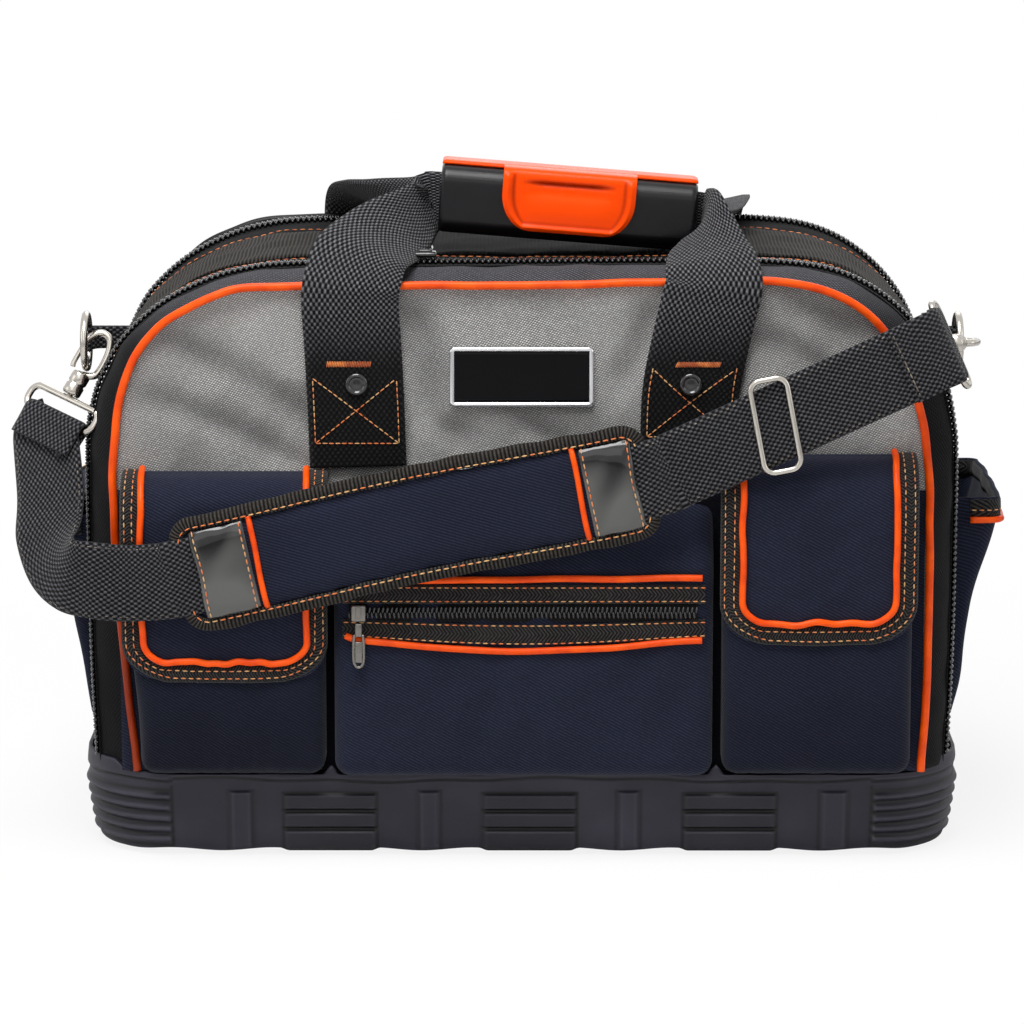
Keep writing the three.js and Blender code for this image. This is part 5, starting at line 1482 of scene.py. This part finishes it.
left_run = [
    *into_loop("left"), ((-245, -103, 190), (1, -0.5, 0.05), 40), ((-245, -114, 174), (0.95, -0.4, 0.25), 40),
    ((-242, -126, 161), (0.62, -0.3, 0.72), 40), ((-234, -136, 154), (0.2, -0.15, 0.97), 40),
    ((-220, -140.2, 152), (0, 0, 1), 40), ((-203, -140.35, 150.5), (-0.1, 0, 1), 40),
    (pad_left - pad_run * 9 + [0, -2.4, 0], pad_up, 40), (pad_left - pad_run * 1 + [0, -4.6, 0], pad_up, 40),
    (pad_left + pad_run * 14 + [0, -4.9, 0], pad_up, 40)]
right_run = [
    (pad_right - pad_run * 12 + [0, -4.9, 0], pad_up, 40),
    (pad_right + pad_run * 0.5 + [0, -4.6, 0], pad_up, 40),
    (right_start + [0, -0.7, 0], pad_up * 0.4 + strap_up * 0.6, 40),
    *[(right_start + strap_run * way, strap_up, 40) for way in (4, 14, 70, 132)],
    ((207.5, -139.15, 269.8), (-0.4, 0, 0.92), 40), ((216, -133.3, 272.5), (-0.4, 0.04, 0.91), 40),
    *into_loop("right")[::-1]]
left_band = band("left_strap_band", left_run, 2.4, strap_weave, "strap", "strap_left_webbing", count=260)
right_band = band("right_strap_band", right_run, 2.4, strap_weave, "strap", "strap_right_webbing", count=260)


def front_of(spine, t):
    """Whether a band's up side faces forward there: 1 or -1."""
    return 1.0 if spine(np.array([t]))[2][0][1] < 0 else -1.0


facing = front_of(right_band, 0.5)
turn = [(16, 2.6), (6, 2.9), (1, 3.3), (-2.4, 2.4), (-3.3, 0), (-2.4, -2.4), (1, -3.3), (6, -2.9), (16, -2.6)]
for word, (eye, down, wide, _) in eyes.items():
    out = np.cross(wide, down)
    band(f"{word}_strap_turn", [(eye + down * d + out * o, wide, 39) for d, o in turn], 1.9, strap_weave,
         "strap", count=60)

t = np.linspace(0, 1, 1000)
fold_start, fold_end = float(t[np.argmax(right_band(t)[0][:, 0] > 193.0)]), 0.97


def fold_spine(t):
    """The second layer of webbing that is sewn down on the right run."""
    here, side, up = right_band(fold_start + (fold_end - fold_start) * t)
    return here + up * facing * 2.2, side, up


fold_length = way_along(fold_spine(np.linspace(0, 1, 60))[0])[-1]
run_along("right_strap_fold", 60, fold_spine, strap_section(40.5, 2.0), fold_length, strap_weave, "strap",
          "webbing")


def edge_rows(spine, end, lift):
    """Two rows of stitches near a band's edges, to a share of its length, lift off its middle."""
    t = np.linspace(0.06, end, int((end - 0.06) * 600))
    here, side, up = spine(t)
    return [(here + side * s + up * lift, up) for s in (17.6, -17.6)]


here, side, up = [v[0] for v in right_band(np.array([fold_start + 0.012]))]
across_fold = here + up * facing * 3.3 + np.multiply.outer(np.linspace(-18.5, 18.5, 9), side)
rows = [*edge_rows(right_band, fold_start, facing * 0.9), (across_fold, np.tile(up * facing, (9, 1))),
        *edge_rows(left_band, 0.9, front_of(left_band, 0.8) * 0.9)]
brown_thread = thread("grey_brown_thread", "#2a2724", "#8a7c6a")
seam_thread("strap_stitches", rows, brown_thread, "strap", "webbing", pitch=3.6, length=2.8, thick=0.8)


# Shoulder pad: a foam cushion in a sleeve of navy twill, bound all round its edge with ribbed
# black tape. The strap lies on it and goes under a glossy vinyl patch at each end, and orange
# piping marks where the patches meet the sleeve. The foam's swell is simulated as cloth.
pad_middle = (pad_left + pad_right) / 2 + [0, -1.3, 0]
pad_half, pad_side = 124.5, 30.0


def on_pad(u, w, h):
    """Points on the pad: u along the strap, w up across it and h out of its face."""
    bend = 1.6 * np.cos(np.asarray(u) / 40.0) + 1.2 * (np.asarray(u) / pad_half) ** 2
    return (pad_middle + np.multiply.outer(u, pad_run) + np.multiply.outer(w + bend, pad_up)
            + np.multiply.outer(h, np.array([0, -1.0, 0])))


def pad_rim(t, inset=0.0):
    """The pad's rounded outline in (u, w), once round."""
    line = rounded(pad_half - inset, pad_side - inset, 13.0 - inset)
    line = np.vstack([line, line[:1]])
    run = way_along(line)
    return read_at((t % 1.0) * run[-1], run, line)


outline = pad_rim(np.linspace(0, 1, 121)[:-1], 2.2)
bpy.ops.object.select_all(action="DESELECT")
bpy.ops.mesh.primitive_circle_add(vertices=120, radius=1, fill_type="NGON")
cushion = bpy.context.object
cushion.name = "pad_cushion"
for vertex, (u, w) in zip(cushion.data.vertices, outline):
    vertex.co = Vector(on_pad(u, w, -1.6).ravel() * MM)
bpy.ops.object.mode_set(mode="EDIT")
bpy.ops.mesh.select_all(action="SELECT")
bpy.ops.mesh.extrude_region_move(TRANSFORM_OT_translate={"value": (0, -0.0036, 0)})
bpy.ops.mesh.select_all(action="SELECT")
bpy.ops.mesh.normals_make_consistent(inside=False)
bpy.ops.object.mode_set(mode="OBJECT")
even_faces = cushion.modifiers.new("even_faces", "REMESH")
even_faces.mode, even_faces.voxel_size = "VOXEL", 0.0036
bpy.ops.object.modifier_apply(modifier="even_faces")


def shape_of(obj):
    """Where an object's points are, its modifiers included, in metres."""
    mesh = obj.evaluated_get(bpy.context.evaluated_depsgraph_get()).data
    spots = np.zeros(len(mesh.vertices) * 3)
    mesh.vertices.foreach_get("co", spots)
    return spots.reshape(-1, 3)


def inflated(obj, pressure, frames, reach):
    """Swells a closed shell of cloth from inside, each point by at most reach millimetres."""
    flat = shape_of(obj)
    cloth = obj.modifiers.new("foam_swell", "CLOTH")
    cloth.settings.use_pressure = True
    cloth.settings.uniform_pressure_force = pressure
    cloth.settings.effector_weights.gravity = 0
    cloth.settings.quality = 6
    for number in range(1, frames + 1):
        scene.frame_set(number)
    move = shape_of(obj) - flat
    obj.modifiers.remove(cloth)
    scene.frame_set(1)
    size = np.linalg.norm(move, axis=1)[:, None]
    swell = flat + move * np.minimum(1.0, reach * MM / np.maximum(size, 1e-9))
    swell[:, 1] = np.minimum(swell[:, 1], -139.25 * MM)
    obj.data.vertices.foreach_set("co", swell.ravel())
    obj.data.update()


inflated(cushion, 4.0, 20, 2.4)
soft = cushion.modifiers.new("soft", "SUBSURF")
soft.levels = soft.render_levels = 1
chosen(cushion)
bpy.ops.object.modifier_apply(modifier="soft")
laid_flat(cushion, pad_run, pad_up)
put_on(cushion, navy_twill, "strap", "navy_fabric", "strap_pad")

skin = BVHTree.FromObject(cushion, bpy.context.evaluated_depsgraph_get())


def pad_skin(u, w, lift):
    """Points just off the pad's front, where a needle pushed in from outside would meet it."""
    u, w = np.broadcast_arrays(np.asarray(u, float), np.asarray(w, float))
    points = []
    for spot in on_pad(u, w, 30.0):
        hit = skin.ray_cast(Vector(spot * MM), Vector((0, 1, 0)))[0]
        points.append(spot if hit is None else np.array(hit) / MM)
    points = np.array(points)
    missed = points[:, 1] < pad_middle[1] - 20
    points[missed, 1] = pad_middle[1] - 2.0
    return points + np.array([0, -1.0, 0]) * np.broadcast_to(lift, u.shape)[:, None]


forward = np.array([0.0, -1, 0])


def pad_binding_spine(t):
    here = pad_rim(t)
    ahead = unit(pad_rim(t + 0.002) - pad_rim(t - 0.002))
    outward = np.stack([ahead[:, 1], -ahead[:, 0]], 1)
    u, w = (here + outward * 0.35 * crumple(t * 610, 0 * t, 26, 88)[:, None]).T
    return on_pad(u, w, 0 * t), outward @ [pad_run, pad_up], np.tile(forward, (len(t), 1))


def pad_binding_section(t):
    outer = np.array([(-6.6, 3.0), (-5.6, 3.75), (-3.4, 4.1), (-1.2, 3.7), (0.2, 2.2), (0.6, 0.4),
                      (0.2, -1.1), (-1.4, -1.75),
                      (-4.0, -1.8), (-6.6, -1.75), (-6.6, -0.9), (-2.0, -0.8), (-1.0, 0.4), (-2.0, 2.1),
                      (-6.4, 2.2)])
    table = np.repeat(outer[None], len(t), 0)
    table[:, 1:5, 1] += 0.35 * crumple(t * 610, 0 * t, 18, 89)[:, None]
    return table


run_along("pad_binding", 360, pad_binding_spine, pad_binding_section, 610, ribbed_tape, "strap", "webbing")
t = np.linspace(0.0, 1.0, 420)
rim_points = on_pad(*pad_rim(t, 5.0).T, np.full_like(t, 4.15))
seam_thread("pad_binding_stitches", [(rim_points, np.tile(forward, (len(t), 1)))], tan_thread, "strap",
            pitch=4.2, length=3.0, thick=0.85)


def patch_painted_reflection(x, y, z):
    """Painted reflection: dull and bright bands across a patch, darkest at its top, as if it mirrored the room.
    """
    return np.clip(0.35 + (np.stack([x, y, z], 1) - pad_middle) @ pad_up / 30 + 0.25 * crumple(x, z, 22,
                                                                                               93), 0, 1)


# The patch's grey base is painted reflection, which its painted bands take towards black at the top.
patch_vinyl = gloss("black_patent_vinyl", "#525250", 0.2, 0.6)
rows = []
for word, near, far, way, seed in (("left", -85.0, -112.5, -1, 91), ("right", 90.0, 116.0, 1, 90)):
    def patch_place(a, b):
        """A patch from its inner edge, a 0, to its outer one; b runs up it."""
        u = near + (far - near) * a + (0.3 * np.sin(b * 9) + 0.8 * (2 * b - 1) ** 2) * way * a
        w = -23.6 + 47.2 * b
        puff = 1.15 + 1.5 * np.sin(np.clip(b, 0, 1) * math.pi) ** 0.4 * (0.45 + 1.05 * a)
        return pad_skin(u, w, puff + 0.3 * crumple(u * 0.5, w, 34, seed) * np.sin(b * math.pi))
    face = patch_place if way > 0 else (lambda a, b: patch_place(1 - a, b))
    sheet(f"pad_{word}_patch", (26, 44), face, (27, 47), 1.0, patch_vinyl, "strap", "plate_black",
          shade=patch_painted_reflection)
    b = np.linspace(0.01, 0.99, 60)
    rows += [(patch_place(np.full_like(b, a), b) + forward * 0.15,
              np.tile(forward, (60, 1))) for a in (0.07, 0.93)]
    w = np.linspace(-24.5, 24.5, 70)
    tube(f"pad_{word}_piping_cord", pad_skin(near - 3.2 * way + 0.4 * np.sin(w / 9), w, 0.9), 1.5, orange_vinyl,
         "strap", "orange_piping")
seam_thread("pad_patch_stitches", rows, tan_thread, "strap", length=3.0, thick=0.85)


# Strap adjuster: one bent wire frame, a little turned, that lies flat on the webbing.
adjuster_middle = right_start + strap_run * 60
adjuster_middle[1] = strap_y - 3.15
lean = math.radians(11)
line = [adjuster_middle + [math.cos(lean) * x - math.sin(lean) * z, 0, math.sin(lean) * x + math.cos(lean) * z]
        for x, z in rounded(9.5, 24.0, 5.5)]
tube("strap_adjuster_wire", line, 1.6, nickel, "adjuster", "nickel_plated", "strap_adjuster", closed=True,
     sides=4)


# Zip sliders and pulls: cast black ones on the two long zips, and one in dark nickel on the
# middle pocket. Each pull is a wire ring on a neck, with a plate in it.
def block(name, size, place, bevel, finish, body, slot, *nodes):
    """A cast block with rounded edges, its size and place in millimetres."""
    bpy.ops.object.select_all(action="DESELECT")
    bpy.ops.mesh.primitive_cube_add(size=1)
    obj = bpy.context.object
    obj.name = name
    obj.data.transform(Matrix.Translation(Vector(place) * MM) @ Matrix.Diagonal((*(Vector(size) * MM), 1)))
    round_off = obj.modifiers.new("round_off", "BEVEL")
    round_off.width = bevel * MM
    round_off.segments = 3
    bpy.ops.object.modifier_apply(modifier="round_off")
    return put_on(obj, finish, body, slot, *nodes)


def ring_path(half_widths):
    """A pull's ring from one side of its neck round to the other: (across, along) pairs."""
    return smooth_path([(-half, along) for half, along in half_widths]
                       + [(half, along) for half, along in half_widths[-2::-1]], 60)


for word, x, y, side in (("front", -50.0, -87.0, 1), ("rear", 45.0, 83.0, -1)):
    slider, pull, near, z = f"{word}_slider", f"{word}_pull", y + side * 5.8, 314.35
    block(f"{slider}_cast", (11.6, 9.6, 2.6), (x, y, 313.9), 1.1, black_metal, slider, "black_metal",
          f"{word}_zip_slider")
    block(f"{slider}_bridge", (7.0, 3.4, 1.7), (x, y, 315.5), 0.7, black_metal, slider, "black_metal")
    block(f"{pull}_neck", (4.2, 7.0, 1.5), (x, near + side * 3.6, z), 0.6, black_metal, pull,
          "black_metal", f"{word}_zip_pull")
    ring = [(x + across, near + side * along, z)
            for across, along in ring_path([(2.3, 6), (2.8, 10), (2.6, 20), (0, 22.6)])]
    tube(f"{pull}_ring", ring, 0.95, black_metal, pull, "black_metal")
    block(f"{pull}_plate", (4.6, 10.5, 1.2), (x, near + side * 15.2, z), 0.5, black_plastic, pull,
          "black_metal")
x, y, dark_nickel = -84, -137.4, metal("dark_nickel_plate", "#75726e", 0.2, 0.2)
block("middle_slider_cast", (7.6, 2.6, 8.6), (x, -136.8, 134.0), 0.9, dark_nickel, "middle_slider",
      "nickel_plated", "middle_zip_slider")
block("middle_slider_bridge", (3.0, 1.2, 6.0), (x, -138.1, 134.4), 0.5, dark_nickel, "middle_slider",
      "nickel_plated")
block("middle_pull_neck", (3.4, 1.4, 7.0), (x, y, 125.3), 0.5, dark_nickel, "middle_pull", "nickel_plated",
      "middle_zip_pull")
ring = [(x + across, y, z) for across, z in ring_path([(2.2, 123), (2.6, 118), (2.4, 108.5), (0, 105.7)])]
tube("middle_pull_ring", ring, 0.85, dark_nickel, "middle_pull", "nickel_plated")
block("middle_pull_plate", (3.8, 0.9, 11.0), (x, y, 113.6), 0.4, dark_nickel, "middle_pull", "nickel_plated")
